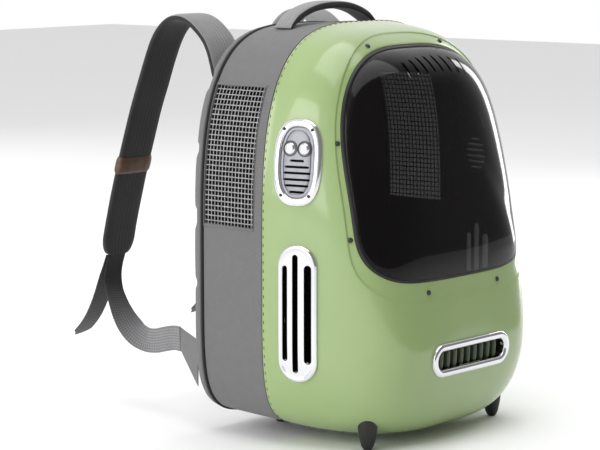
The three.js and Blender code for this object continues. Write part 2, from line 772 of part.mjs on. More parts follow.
function buildVents() {
  const flange = onShell(capsule(VENT.width, VENT.tall), vent.place, VENT, BEZEL_SEAT, BEZEL_RISE);
  const core = capsule(ventHole.width, ventHole.tall);
  const plug = onShell(core, vent.place, VENT, PLATE_RISE - PLATE_THICKNESS, BEZEL_RISE);
  let body = flange.add(plug);
  for (const { across, width, tall } of VENT_SLOTS) {
    const slot = capsule(width, tall, across, 0);
    body = body.subtract(prism(slot, vent.place, REACH, REACH, 1));
  }
  addPair("side_vent", toGeometry(body), chrome);
}

function buildGrille() {
  const rim = raisedRim(
    capsule(GRILLE.width, GRILLE.tall),
    capsule(grilleHole.width + 2 * GAP, grilleHole.tall + 2 * GAP),
    grillePlace,
    GRILLE,
  );
  add("grille_bezel", toGeometry(rim), chrome);
  const face = capsule(grilleHole.width, grilleHole.tall);
  let core = onShell(face, grillePlace, GRILLE, -LOUVRE_SINK - PLATE_THICKNESS, -LOUVRE_SINK);
  for (let i = 0; i < LOUVRE_COUNT; i += 1) {
    const x = (i - (LOUVRE_COUNT - 1) / 2) * LOUVRE_PITCH;
    const slot = capsule(LOUVRE_GAP, grilleHole.tall - 2 * LOUVRE_MARGIN, x, 0);
    core = core.subtract(prism(slot, grillePlace, REACH, REACH, 1));
  }
  add("grille_louvres", toGeometry(core), darkPlastic);
}

// Fabric gusset, nets and piping

// Ring of the bag's outline: share 0 at the seam and 1 at the back panel
function bagRing(y, share, grow) {
  const halfWidth = SEAM_HALF_WIDTH - GUSSET_TAPER.sides * share + grow;
  const above = SEAM_TOP_HEIGHT - SEAM_WAIST_HEIGHT - GUSSET_TAPER.top * share + grow;
  const below = SEAM_WAIST_HEIGHT - SEAM_BOTTOM_HEIGHT - GUSSET_TAPER.bottom * share + grow;
  const inside = (x, z) => {
    const upper = z > SEAM_WAIST_HEIGHT;
    const power = upper ? SEAM_TOP_POWER : SEAM_BOTTOM_POWER;
    const along = Math.abs(z - SEAM_WAIST_HEIGHT) / (upper ? above : below);
    return (Math.abs(x) / halfWidth) ** power + along ** power < 1;
  };
  return rimAngles.map((a) => {
    const at = (r) => [r * Math.cos(a), WINDOW_MID_HEIGHT + r * Math.sin(a)];
    const [x, z] = at(lastInside((r) => inside(...at(r)), 0, RAY_REACH));
    return [x, y, z];
  });
}

const gussetFront = SEAM_PLANE + GAP;
const gussetShare = (y) => (y - gussetFront) / (GUSSET_BACK - gussetFront);
const pipingFront = GUSSET_BACK + GAP;
const pipingBack = pipingFront + PIPING_DEPTH;
const panelFront = pipingBack + GAP;
const panelBack = panelFront + PANEL_THICKNESS;
const padBack = panelBack + PAD_HEIGHT;

function bagWall(outer, inner) {
  return toSolid(
    loft(
      [
        bagRing(gussetFront, 0, outer),
        bagRing(GUSSET_BACK, 1, outer),
        bagRing(GUSSET_BACK, 1, inner),
        bagRing(gussetFront, 0, inner),
      ],
      true,
    ),
  );
}

function bagBlock(grow) {
  return toSolid(loft([bagRing(gussetFront, 0, grow), bagRing(GUSSET_BACK, 1, grow)]));
}

function buildGusset() {
  const high = SEAM_HALF_WIDTH + REACH;
  const opening = boxSolid(
    [-high, -NET_HALF_DEPTH - GAP, NET_BOTTOM - GAP],
    [high, NET_HALF_DEPTH + GAP, NET_TOP + GAP],
  );
  add("fabric_gusset", toGeometry(bagWall(0, -GUSSET_WALL).subtract(opening)), clothGrey);
}

function buildNets() {
  const frame = boxSolid(
    [-SEAM_HALF_WIDTH - REACH, -NET_HALF_DEPTH, NET_BOTTOM],
    [0, NET_HALF_DEPTH, NET_TOP],
  );
  let net = bagWall(-NET_SINK, -NET_SINK - NET_WALL).intersect(frame);
  const pitchY = (2 * NET_HALF_DEPTH - NET_BAR) / NET_COLUMNS;
  const pitchZ = (NET_TOP - NET_BOTTOM - NET_BAR) / NET_ROWS;
  const holes = [];
  for (let column = 0; column < NET_COLUMNS; column += 1) {
    for (let row = 0; row < NET_ROWS; row += 1) {
      const y = -NET_HALF_DEPTH + NET_BAR + column * pitchY;
      const z = NET_BOTTOM + NET_BAR + row * pitchZ;
      const far = [0, y + pitchY - NET_BAR, z + pitchZ - NET_BAR];
      holes.push(boxSolid([-SEAM_HALF_WIDTH - REACH, y, z], far));
    }
  }
  net = net.subtract(wasm.Manifold.union(holes));
  addPair("side_net", toGeometry(net), clothGrey);
}

function buildPiping() {
  const rings = [
    bagRing(pipingFront, 1, 0),
    bagRing(pipingBack, 1, 0),
    bagRing(pipingBack, 1, -PIPING_WALL),
    bagRing(pipingFront, 1, -PIPING_WALL),
  ];
  add("piping", loft(rings, true), darkCloth);
}

// Back panel with raised pads between its grooves

function buildPanel() {
  let body = toSolid(loft([
    bagRing(panelFront, 1, 0),
    bagRing(panelBack - PANEL_EDGE_ROUND, 1, 0),
    bagRing(panelBack, 1, -PANEL_EDGE_ROUND),
  ]));
  const levels = [SEAM_BOTTOM_HEIGHT, ...PAD_GROOVES.flatMap((g) => [g.bottom, g.top]), SEAM_TOP_HEIGHT];
  const raised = toSolid(loft([
    bagRing(panelBack - PANEL_EDGE_ROUND, 1, 0),
    bagRing(padBack - PANEL_EDGE_ROUND, 1, 0),
    bagRing(padBack, 1, -PANEL_EDGE_ROUND),
  ]));
  for (let i = 0; i < levels.length; i += 2) {
    const [low, high] = [levels[i], levels[i + 1]];
    const band = boxSolid([-REACH - SEAM_HALF_WIDTH, 0, low], [REACH + SEAM_HALF_WIDTH, REACH * 3, high]);
    body = body.add(raised.intersect(band));
  }
  add("back_panel", toGeometry(body), clothGrey);
}

// Bands swept along a route

// Section of a padded band, as shares of its half width and half thickness
const BAND_SECTION = [
  [-1, -0.45],
  [-0.88, -1],
  [0.88, -1],
  [1, -0.45],
  [1, 0.45],
  [0.88, 1],
  [-0.88, 1],
  [-1, 0.45],
];
const FLAT_SECTION = [
  [-1, -1],
  [1, -1],
  [1, 1],
  [-1, 1],
];

// Stations hold a centre, a direction across the band, a half width and a half thickness
function sweep(stations, section) {
  const rings = stations.map(({ centre, across, half, thick }, i) => {
    const before = stations[Math.max(i - 1, 0)].centre;
    const after = stations[Math.min(i + 1, stations.length - 1)].centre;
    const along = after.clone().sub(before).normalize();
    const level = across.clone().addScaledVector(along, -across.dot(along)).normalize();
    const out = new THREE.Vector3().crossVectors(along, level).normalize();
    return section.map(([a, b]) =>
      centre.clone().addScaledVector(level, a * half).addScaledVector(out, b * thick).toArray(),
    );
  });
  return loft(rings);
}

// Smooth curve through the points of a route, with a twist that follows it
function routeCurve(route) {
  const points = route.map(({ side, depth, height }) => new THREE.Vector3(-side, depth, height));
  return new THREE.CatmullRomCurve3(points, false, "centripetal");
}

function strapCurve() {
  return routeCurve(STRAP_ROUTE.map((row) => ({ side: STRAP_OFFSET, ...row })));
}

function strapStations(from, to, steps, grow) {
  const curve = strapCurve();
  const length = curve.getLength();
  return Array.from({ length: steps + 1 }, (_, i) => {
    const share = from + ((to - from) * i) / steps;
    const left = length * (1 - share);
    const round = left < STRAP_END_ROUND ? Math.sqrt(1 - (1 - left / STRAP_END_ROUND) ** 2) : 1;
    return {
      centre: curve.getPointAt(share),
      across: new THREE.Vector3(1, 0, 0),
      half: (STRAP_WIDTH / 2 + grow) * Math.max(0.5 + round * 0.5, 0.5),
      thick: STRAP_THICKNESS / 2 + grow,
    };
  });
}

function buildStraps() {
  const wall = boxSolid(
    [-SEAM_HALF_WIDTH - REACH, 0, 0],
    [SEAM_HALF_WIDTH + REACH, padBack + GAP, SEAM_TOP_HEIGHT + REACH],
  );
  const body = [...strapStations(0, 0.93, 24, 0), ...strapStations(0.945, 1, 3, 0)];
  const strap = toSolid(sweep(body, BAND_SECTION)).subtract(wall);
  addPair("shoulder_strap", toGeometry(strap), clothGrey);
  const curve = strapCurve();
  const shareAt = (height) =>
    lastInside((share) => curve.getPointAt(share).z > height, 0.4, 1);
  const [from, to] = [shareAt(STRAP_BAND.top), shareAt(STRAP_BAND.bottom)];
  const outer = toSolid(sweep(strapStations(from, to, 3, GAP + STRAP_BAND.wall), BAND_SECTION));
  const inner = toSolid(sweep(strapStations(from - 0.02, to + 0.02, 7, GAP), BAND_SECTION));
  addPair("strap_band", toGeometry(outer.subtract(inner)), tanBand);
}

function webbingStations(route, steps, pointLength) {
  const curve = routeCurve(route);
  const length = curve.getLength();
  return Array.from({ length: steps + 1 }, (_, i) => {
    const share = i / steps;
    const spot = curve.getUtoTmapping(share) * (route.length - 1);
    const row = Math.min(Math.floor(spot), route.length - 2);
    const twist = route[row].twist + (route[row + 1].twist - route[row].twist) * (spot - row);
    const turn = (twist * Math.PI) / 2;
    const left = length * (1 - share);
    const taper = pointLength && left < pointLength ? Math.max(left / pointLength, 0.15) : 1;
    return {
      centre: curve.getPointAt(share),
      across: new THREE.Vector3(Math.cos(turn), 0, Math.sin(turn)),
      half: (WEBBING_WIDTH / 2) * taper,
      thick: WEBBING_THICKNESS / 2,
    };
  });
}

function buildWebbing() {
  const run = webbingStations(WEBBING_ROUTE, 22, 0).reverse();
  addPair("webbing", sweep(run, FLAT_SECTION), darkCloth);
  const tail = webbingStations(TAIL_ROUTE, 15, TAIL_POINT_LENGTH);
  addPair("webbing_tail", sweep(tail, FLAT_SECTION), darkCloth);
}

function buildTabs() {
  const root = padBack + GAP;
  const slope = new THREE.Vector3(TAB_ROOT.side - TAB_EDGE.side, TAB_EDGE.depth - root, 0);
  const reach = slope.length();
  const shape = new THREE.Shape();
  shape.moveTo(0, TAB_ROOT.bottom);
  shape.lineTo(reach, TAB_EDGE.bottom);
  shape.lineTo(reach, TAB_EDGE.top);
  shape.lineTo(0, TAB_ROOT.top);
  shape.closePath();
  const tab = new THREE.ExtrudeGeometry(shape, { depth: TAB_THICKNESS, bevelEnabled: false });
  tab.translate(0, 0, -TAB_THICKNESS / 2);
  const along = slope.normalize();
  const up = new THREE.Vector3(0, 0, 1);
  const out = new THREE.Vector3().crossVectors(along, up);
  tab.applyMatrix4(new THREE.Matrix4().makeBasis(along, up, out).setPosition(-TAB_ROOT.side, root, 0));
  const wall = boxSolid([-SEAM_HALF_WIDTH - REACH, 0, 0], [0, root, SEAM_TOP_HEIGHT]);
  addPair("lower_tab", toGeometry(toSolid(tab).subtract(wall)), clothGrey);
}

// Top handle

function bagTopAt(x) {
  const share = gussetShare(0);
  const halfWidth = SEAM_HALF_WIDTH - GUSSET_TAPER.sides * share;
  const above = SEAM_TOP_HEIGHT - SEAM_WAIST_HEIGHT - GUSSET_TAPER.top * share;
  const left = 1 - (Math.abs(x) / halfWidth) ** SEAM_TOP_POWER;
  return SEAM_WAIST_HEIGHT + above * left ** (1 / SEAM_TOP_POWER);
}

function buildHandle() {
  const low = bagTopAt(HANDLE_HALF_SPAN) + HANDLE_END_THICKNESS / 2;
  const crest = HANDLE_TOP - HANDLE_THICKNESS / 2;
  const stations = Array.from({ length: HANDLE_STEPS + 1 }, (_, i) => {
    const share = -Math.cos((Math.PI * i) / HANDLE_STEPS);
    const rise = (1 - Math.abs(share) ** HANDLE_ARCH.start) ** HANDLE_ARCH.end;
    const swell = Math.min(1, rise * HANDLE_ARCH.swell);
    const thickness = HANDLE_END_THICKNESS + (HANDLE_THICKNESS - HANDLE_END_THICKNESS) * swell;
    return {
      centre: new THREE.Vector3(share * HANDLE_HALF_SPAN, 0, low + (crest - low) * rise),
      across: new THREE.Vector3(0, 1, 0),
      half: HANDLE_WIDTH / 2,
      thick: thickness / 2,
    };
  });
  const body = toSolid(sweep(stations, BAND_SECTION)).subtract(bagBlock(GAP));
  add("top_handle", toGeometry(body), clothGrey);
}

// Feet

function buildFeet() {
  const profile = [
    new THREE.Vector2(0, 0),
    ...FRONT_FOOT_PROFILE.map(({ radius, height }) => new THREE.Vector2(radius, height)),
    new THREE.Vector2(FRONT_FOOT_PROFILE.at(-1).radius, FRONT_FOOT.top),
    new THREE.Vector2(0, FRONT_FOOT.top),
  ];
  const foot = new THREE.LatheGeometry(profile, 16);
  foot.rotateX(Math.PI / 2);
  foot.translate(-FRONT_FOOT.side, FRONT_FOOT.depth, 0);
  addPair("front_foot", toGeometry(toSolid(foot).subtract(shellBowl(GAP))), rubber);
  const height = REAR_STUD.top;
  const stud = new THREE.CylinderGeometry(REAR_STUD.radius, REAR_STUD.radius, height, 16);
  stud.rotateX(Math.PI / 2);
  stud.translate(-REAR_STUD.side, REAR_STUD.depth, height / 2);
  addPair("rear_stud", toGeometry(toSolid(stud).subtract(bagBlock(GAP))), rubber);
}

buildShell();
buildScrews();
buildGasket();
buildDome();
buildUnits();
buildVents();
buildGrille();
buildGusset();
buildNets();
buildPiping();
buildPanel();
buildStraps();
buildWebbing();
buildTabs();
buildHandle();
buildFeet();

// Origin on the floor, under the middle of the bag's overall box
const bounds = new THREE.Box3().setFromObject(carrier);
carrier.position.set(-(bounds.min.x + bounds.max.x) / 2, -(bounds.min.y + bounds.max.y) / 2, -bounds.min.z);

export default carrier;
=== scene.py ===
# %% [markdown]
# # A bubble pet carrier backpack
# The carrier is a moulded green front shell with a smoked bubble window, closed at the back by a cloth
# gusset with net sides, a padded back panel, and two shoulder straps. This lesson dresses the packed
# model: each drawn surface of the shell is worked out once, and every rim, plate and vent is then laid on
# it.

import math

import bmesh
import bpy
import numpy as np
from mathutils import Matrix, Vector


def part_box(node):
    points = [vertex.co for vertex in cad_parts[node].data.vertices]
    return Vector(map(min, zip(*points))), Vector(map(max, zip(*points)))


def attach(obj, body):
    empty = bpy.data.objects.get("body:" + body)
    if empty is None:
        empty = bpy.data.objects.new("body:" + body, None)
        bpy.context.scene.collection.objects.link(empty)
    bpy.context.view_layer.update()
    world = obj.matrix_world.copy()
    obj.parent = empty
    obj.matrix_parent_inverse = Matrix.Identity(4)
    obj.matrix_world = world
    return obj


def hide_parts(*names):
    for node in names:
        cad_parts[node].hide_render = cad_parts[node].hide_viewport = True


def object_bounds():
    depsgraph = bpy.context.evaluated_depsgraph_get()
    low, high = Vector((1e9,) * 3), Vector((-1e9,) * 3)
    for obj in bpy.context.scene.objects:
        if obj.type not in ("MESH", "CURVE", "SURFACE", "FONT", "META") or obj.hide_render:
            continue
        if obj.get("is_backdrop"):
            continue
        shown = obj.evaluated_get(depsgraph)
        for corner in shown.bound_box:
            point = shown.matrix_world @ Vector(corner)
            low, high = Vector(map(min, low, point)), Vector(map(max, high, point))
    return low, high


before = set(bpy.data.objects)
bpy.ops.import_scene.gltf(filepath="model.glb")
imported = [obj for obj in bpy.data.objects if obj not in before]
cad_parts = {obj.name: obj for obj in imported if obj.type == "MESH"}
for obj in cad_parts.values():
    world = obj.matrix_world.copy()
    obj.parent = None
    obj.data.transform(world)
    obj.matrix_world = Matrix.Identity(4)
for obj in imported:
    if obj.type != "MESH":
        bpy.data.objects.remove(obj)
cad_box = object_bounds()

# %% [markdown]
# ## Camera
# The photograph looks at the left front corner from slightly above, with a long lens from about 2.4
# metres. The camera comes first, because everything after it is judged through it.

# %% Camera
CAMERA_AT = Vector((-1.90068, -1.56369, 0.51371))
CAMERA_AIM = Vector((-0.0425, -0.041918, 0.2))
CAMERA_LENS = 145.32

camera = bpy.data.objects.new("camera", bpy.data.cameras.new("camera"))
bpy.context.scene.collection.objects.link(camera)
camera.data.lens = CAMERA_LENS
camera.data.clip_start = 0.1
camera.location = CAMERA_AT
camera.rotation_mode = "QUATERNION"
camera.rotation_quaternion = (CAMERA_AIM - CAMERA_AT).to_track_quat("-Z", "Y")
bpy.context.scene.camera = camera
print("camera distance:", round((CAMERA_AIM - CAMERA_AT).length, 3))

# %% [markdown]
# ## Floor and soft light
# A studio photograph of a bright object needs a pale floor, one broad light from the upper left, one
# overhead, and a strip at the right that draws the pale line down the far edge. The world fills what they
# leave dark. It is dimmer in front than behind, so that the dark window and the chrome have something
# dark to mirror.

# %% Stage
bpy.context.scene.view_settings.view_transform = "Standard"

FLOOR_HALF = 6.0
floor_mesh = bmesh.new()
bmesh.ops.create_grid(floor_mesh, x_segments=1, y_segments=1, size=FLOOR_HALF)
floor_data = bpy.data.meshes.new("studio_floor")
floor_mesh.to_mesh(floor_data)
floor_mesh.free()
floor = bpy.data.objects.new("studio_floor", floor_data)
bpy.context.scene.collection.objects.link(floor)
floor_paint = bpy.data.materials.new("pale_floor")
floor_paint.use_nodes = True
floor_paint.node_tree.nodes["Principled BSDF"].inputs["Base Color"].default_value = (0.93, 0.93, 0.93, 1)
floor_paint.node_tree.nodes["Principled BSDF"].inputs["Roughness"].default_value = 0.8
floor_data.materials.append(floor_paint)
floor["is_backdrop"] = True

world = bpy.data.worlds.new("studio")
world.use_nodes = True
world.node_tree.nodes["Background"].inputs["Color"].default_value = (1, 1, 1, 1)
DIM_SIDE = (0.17, -0.98, 0.0)
DIM_STRENGTH = 0.25
DIM_FROM, DIM_TO = -0.1, 0.6
sky = world.node_tree
direction = sky.nodes.new("ShaderNodeTexCoord")
toward = sky.nodes.new("ShaderNodeVectorMath")
toward.operation = "DOT_PRODUCT"
toward.inputs[1].default_value = DIM_SIDE
dim = sky.nodes.new("ShaderNodeMapRange")
dim.interpolation_type = "SMOOTHSTEP"
dim.inputs["From Min"].default_value = DIM_FROM
dim.inputs["From Max"].default_value = DIM_TO
dim.inputs["To Min"].default_value = 1.0
dim.inputs["To Max"].default_value = DIM_STRENGTH
sky.links.new(direction.outputs["Generated"], toward.inputs[0])
sky.links.new(toward.outputs["Value"], dim.inputs["Value"])
sky.links.new(dim.outputs["Result"], sky.nodes["Background"].inputs["Strength"])
bpy.context.scene.world = world


def softbox(name, at, aim, wide, tall, power):
    """A broad rectangular light that faces a point."""
    light = bpy.data.lights.new(name, "AREA")
    light.shape = "RECTANGLE"
    light.size = wide
    light.size_y = tall
    light.energy = power
    lamp = bpy.data.objects.new(name, light)
    bpy.context.scene.collection.objects.link(lamp)
    lamp.location = at
    lamp.rotation_mode = "QUATERNION"
    lamp.rotation_quaternion = (Vector(aim) - Vector(at)).to_track_quat("-Z", "Y")


softbox("left_box", (-2.6, 0.4, 1.0), (0, 0, 0.2), 1.6, 1.8, 26)
softbox("top_box", (0.0, -0.3, 2.4), (0, 0, 0.2), 2.4, 1.8, 26)
softbox("right_strip", (2.3, 0.0, 0.6), (0, -0.1, 0.25), 0.4, 2.0, 16)
softbox("back_fill", (0.6, 2.6, 1.2), (0, 0, 0.2), 2.0, 1.6, 12)

# %% [markdown]
# ## From the drawing to the frame
# The part was drawn in millimetres with the seam between shell and gusset at a depth of -44.6. The packed
# frame is in metres with its origin under the middle of the whole box, so one shift in depth joins the
# two. It is read from the shell's own box.

# %% Drawing to metres
MM = 0.001
SEAM_PLANE = -44.6
SEAM_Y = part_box("front_shell")[1].y


def to_metres(spots):
    """Points of the drawing, in millimetres, as points of the frame."""
    spots = np.asarray(spots, float)
    depth = (spots[..., 1] - SEAM_PLANE) * MM + SEAM_Y
    return np.stack([spots[..., 0] * MM, depth, spots[..., 2] * MM], axis=-1)


print("seam plane in the frame:", round(SEAM_Y, 4))

# %% [markdown]
# ## The shell as a surface
# The front shell is one moulding whose outline shrinks from the seam to the nose. It could be sculpted,
# but then nothing else would fit it. A rule that says whether a point is inside works better: every other
# piece can then be laid on the surface, or a little above or below it, by halving the way until it meets.

# %% Shell surface
SEAM_HALF_WIDTH = 154.2
SEAM_WAIST = 185
SEAM_TOP = 403.5
SEAM_BOTTOM = 12
SEAM_TOP_POWER = 3.2
SEAM_BOTTOM_POWER = 6
SHELL_DEPTH = 138.6
SHELL_WALL = 3
NOSE_HEIGHT = 94.8
NOSE_BLEND = 3
HALVINGS = 38
HUB_HEIGHT = 238
RAY_REACH = 500
NOSE_TOP_POWER = 1.5
NOSE_BOTTOM_POWER = 2.47
SIDES = {"start": 1.56, "end": 5.2, "swell": 0.8}
TOP = {"start": 3.74, "end": 0.85, "swell": 8.4}
BOTTOM = {"start": 10.7, "end": 1.32, "swell": 5.3}
WAIST_FALL = 0.77
POWER_FALL = 0.67
POWER_SWELL = 1.57
UNIT_AT = {"depth": -81.5, "height": 276.5}


def fade(share, bend):
    """Falls from 1 to 0 over a share, with the bend of its start and of its end."""
    return np.maximum(1 - share ** bend["start"], 0) ** (1 / bend["end"])


def inside_shell(x, y, z, grow):
    """True where a point is inside the shell's outer surface, grown by some millimetres."""
    depth = SEAM_PLANE - y
    reach = SHELL_DEPTH + grow
    left = np.sqrt(np.maximum((reach - depth) ** 2 - NOSE_BLEND**2, 0))
    share = np.clip(1 - left / reach, 0, 1)
    swell = np.sin(np.pi * share)
    half_width = SEAM_HALF_WIDTH * fade(share, SIDES) - SIDES["swell"] * swell + grow
    top = NOSE_HEIGHT + (SEAM_TOP - NOSE_HEIGHT) * fade(share, TOP) - TOP["swell"] * swell + grow
    bottom = NOSE_HEIGHT + (SEAM_BOTTOM - NOSE_HEIGHT) * fade(share, BOTTOM)
    bottom = bottom - BOTTOM["swell"] * swell - grow
    waist = SEAM_WAIST + (NOSE_HEIGHT - SEAM_WAIST) * share**WAIST_FALL
    top_power = SEAM_TOP_POWER + (NOSE_TOP_POWER - SEAM_TOP_POWER) * share**POWER_FALL + POWER_SWELL * swell
    bottom_power = SEAM_BOTTOM_POWER + (NOSE_BOTTOM_POWER - SEAM_BOTTOM_POWER) * share
    upper = z > waist
    power = np.where(upper, top_power, bottom_power)
    span = np.where(upper, top - waist, waist - bottom)
    across = np.abs(x) / np.maximum(half_width, 1e-6)
    along = np.abs(z - waist) / np.maximum(span, 1e-6)
    return (across**power + along**power < 1) & (depth <= reach - NOSE_BLEND)


def last_inside(test, near, far):
    """Halves the way from near, which is inside, to far, until it stands on the surface."""
    low, high = np.array(near, float), np.array(far, float)
    for _ in range(HALVINGS):
        middle = (low + high) / 2
        inside = test(middle)
        low, high = np.where(inside, middle, low), np.where(inside, high, middle)
    return (low + high) / 2


def shell_front(x, z, grow):
    """Depth of the shell in front of points of the front view."""
    near = np.full(np.shape(x), SEAM_PLANE)
    return last_inside(lambda y: inside_shell(x, y, z, grow), near, near - SHELL_DEPTH - 20)


def shell_side(depth, height):
    """Half width of the shell beside a point of the side view."""
    far = np.full(1, float(RAY_REACH))
    return float(last_inside(lambda x: inside_shell(x, depth, height, 0), np.zeros(1), far)[0])


def shell_ray(angle, lift, grow):
    """Where rays from the middle of the seam plane leave the shell."""
    way = np.stack(
        [np.cos(angle) * np.cos(lift), -np.sin(lift) + 0 * angle, np.sin(angle) * np.cos(lift)], axis=-1
    )
    hub = np.array([0, SEAM_PLANE, HUB_HEIGHT])

    def inside(r):
        spot = hub + way * r[..., None]
        return inside_shell(spot[..., 0], spot[..., 1], spot[..., 2], grow)

    r = last_inside(inside, np.zeros(way.shape[:-1]), np.full(way.shape[:-1], float(RAY_REACH)))
    return hub + way * r[..., None]


print("shell half width beside the unit:", round(shell_side(**UNIT_AT), 1))

# %% [markdown]
# ## Outlines of the window and the bag
# The window opening, the shallow recess round it and the seam are all rounded squares of the same family,
# drawn round one hub. Sharing the same rays keeps the rings of every piece in step, so they meet without
# a gap. The rays are spread by length along the seam, so that faces and stitches come out even.

# %% Outlines
WINDOW = {"half_width": 128.6, "above": 144.3, "below": 78, "top_power": 3, "bottom_power": 4.9}
FLANGE = {"half_width": 133.5, "above": 156, "below": 98, "top_power": 2.75, "bottom_power": 5.2}
FLANGE_STEP = 1
GUSSET_TAPER = {"sides": 4.2, "top": 4, "bottom": 3}
COLUMNS = 360


def outline_radius(shape, angle):
    """Distance from the hub to an outline, along rays of the front view."""
    upper = np.sin(angle) > 0
    power = np.where(upper, shape["top_power"], shape["bottom_power"])
    height = np.where(upper, shape["above"], shape["below"])
    across = np.abs(np.cos(angle)) / shape["half_width"]
    along = np.abs(np.sin(angle)) / height
    return (across**power + along**power) ** (-1 / power)


def inset_window(inset):
    """The window's outline, drawn in by some millimetres."""
    drawn = dict(WINDOW)
    for side in ("half_width", "above", "below"):
        drawn[side] = WINDOW[side] - inset
    return drawn


def bag_outline(angle, depth, share, grow):
    """Ring of the bag's outline: share 0 at the seam and 1 at the back panel."""
    half_width = SEAM_HALF_WIDTH - GUSSET_TAPER["sides"] * share + grow
    above = SEAM_TOP - SEAM_WAIST - GUSSET_TAPER["top"] * share + grow
    below = SEAM_WAIST - SEAM_BOTTOM - GUSSET_TAPER["bottom"] * share + grow

    def inside(r):
        x, z = r * np.cos(angle), HUB_HEIGHT + r * np.sin(angle)
        upper = z > SEAM_WAIST
        power = np.where(upper, SEAM_TOP_POWER, SEAM_BOTTOM_POWER)
        along = np.abs(z - SEAM_WAIST) / np.where(upper, above, below)
        return (np.abs(x) / half_width) ** power + along**power < 1

    r = last_inside(inside, np.zeros(angle.shape), np.full(angle.shape, float(RAY_REACH)))
    return np.stack([r * np.cos(angle), depth + 0 * r, HUB_HEIGHT + r * np.sin(angle)], axis=-1)


def even_angles(count, start=0.0, stop=2 * math.pi):
    """Ray angles that are evenly spaced by length along the seam."""
    fine = np.linspace(start, stop, 4001)
    ring = bag_outline(fine, SEAM_PLANE, 0.5, 0)
    walked = np.concatenate([[0], np.cumsum(np.linalg.norm(np.diff(ring, axis=0), axis=1))])
    return np.interp(np.linspace(0, 1, count + 1) * walked[-1], walked, fine)


rays = even_angles(COLUMNS)
seam_ring = bag_outline(rays, SEAM_PLANE, 0, 0)
SEAM_LENGTH = float(np.linalg.norm(np.diff(seam_ring, axis=0), axis=1).sum())
print("seam length in mm:", round(SEAM_LENGTH))

# %% [markdown]
# ## From rings to a sheet of faces
# Most pieces here are sheets that follow rings. One grid of faces is made by the grid operator, its
# corners are moved onto the rings, and corners that meet are merged, which closes tubes and poles. Each
# sheet also gets a flat map in metres, so that one weave has the same size on every cloth.

# %% Sheets and pieces
SHARP_EDGE = 38


def lay_grid(rings, size=(1.0, 1.0)):
    """A sheet of faces whose corners lie on rings[row, column], with a flat map of that size in metres."""
    rows, columns = rings.shape[0] - 1, rings.shape[1] - 1
    mesh = bmesh.new()
    flat_map = mesh.loops.layers.uv.new("UVMap")
    bmesh.ops.create_grid(mesh, x_segments=columns, y_segments=rows, size=1)
    flat = np.array([v.co[:2] for v in mesh.verts])
    share = (flat - flat.min(0)) / (flat.max(0) - flat.min(0))
    column = np.rint(share[:, 0] * columns).astype(int)
    row = np.rint(share[:, 1] * rows).astype(int)
    for corner, spot in zip(mesh.verts, to_metres(rings[row, column])):
        corner.co = spot
    spread = share * np.array(size)
    for face in mesh.faces:
        for loop in face.loops:
            loop[flat_map].uv = spread[loop.vert.index]
    bmesh.ops.remove_doubles(mesh, verts=mesh.verts, dist=2e-6)
    bmesh.ops.recalc_face_normals(mesh, faces=mesh.faces)
    return mesh


def close_ends(mesh):
    """Fills the open ends of a swept piece."""
    bmesh.ops.holes_fill(mesh, edges=[e for e in mesh.edges if e.is_boundary], sides=0)
    bmesh.ops.recalc_face_normals(mesh, faces=mesh.faces)
    return mesh


def show(name, mesh):
    """Puts a mesh into the scene as an object at the origin."""
    data = bpy.data.meshes.new(name)
    mesh.to_mesh(data)
    mesh.free()
    obj = bpy.data.objects.new(name, data)
    bpy.context.scene.collection.objects.link(obj)
    return obj


def dress(obj, coat, replaces=(), body="bag", sharp=SHARP_EDGE):
    """Smooths a piece, gives it its finish, and makes it ride on its body in place of its plain solids."""
    obj.data.polygons.foreach_set("use_smooth", [True] * len(obj.data.polygons))
    obj.data.set_sharp_from_angle(angle=math.radians(sharp))
    obj.data.materials.clear()
    obj.data.materials.append(coat)
    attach(obj, body)
    if replaces:
        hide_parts(*replaces)
    print(obj.name, len(obj.data.polygons), "faces")
    return obj


def piece(name, mesh, coat, replaces=(), body="bag", sharp=SHARP_EDGE):
    """A new piece, dressed."""
    return dress(show(name, mesh), coat, replaces, body, sharp)


def other_side(obj, name):
    """The mirror image of a finished mesh, across the middle of the bag."""
    mesh = bmesh.new()
    mesh.from_mesh(obj.data)
    bmesh.ops.scale(mesh, vec=(-1, 1, 1), verts=mesh.verts)
    bmesh.ops.reverse_faces(mesh, faces=mesh.faces)
    return show(name, mesh)


def carve(obj, mesh):
    """Cuts a closed mesh out of a piece."""
    cutter = show("cutter", mesh)
    cut = obj.modifiers.new("cut", "BOOLEAN")
    cut.object = cutter
    cut.solver = "EXACT"
    bpy.context.view_layer.update()
    ready = obj.evaluated_get(bpy.context.evaluated_depsgraph_get())
    carved = bpy.data.meshes.new_from_object(ready)
    obj.modifiers.remove(cut)
    obj.data = carved
    bpy.data.objects.remove(cutter)


def join(meshes):
    """Several meshes as one."""
    whole = meshes[0]
    for mesh in meshes[1:]:
        carrier = bpy.data.meshes.new("carrier")
        mesh.to_mesh(carrier)
        mesh.free()
        whole.from_mesh(carrier)
        bpy.data.meshes.remove(carrier)
    return whole


# %% [markdown]
# ## Finishes
# Every finish is made of nodes, with no picture. Gloss plastics get a very faint ripple and a clear coat,
# cloth gets two crossed sets of threads read from its flat map, and plating gets a slight waviness.
# Colours are given as they look on a screen and turned into light values once.

# %% Paint and nodes
def paint(red, green, blue):
    """A screen colour of 0 to 255 as linear light."""
    linear = [(c / 255 / 12.92) if c < 10 else ((c / 255 + 0.055) / 1.055) ** 2.4 for c in (red, green, blue)]
    return (*linear, 1.0)


def new_finish(name, slot, colour, roughness, **sockets):
    """A material with one shader, and the values that are the same all over it."""
    coat = bpy.data.materials.new(name)
    coat.use_nodes = True
    coat["slot"] = slot
    shader = coat.node_tree.nodes["Principled BSDF"]
    shader.inputs["Base Color"].default_value = colour
    shader.inputs["Roughness"].default_value = roughness
    for socket, value in sockets.items():
        shader.inputs[socket.replace("_", " ")].default_value = value
    return coat


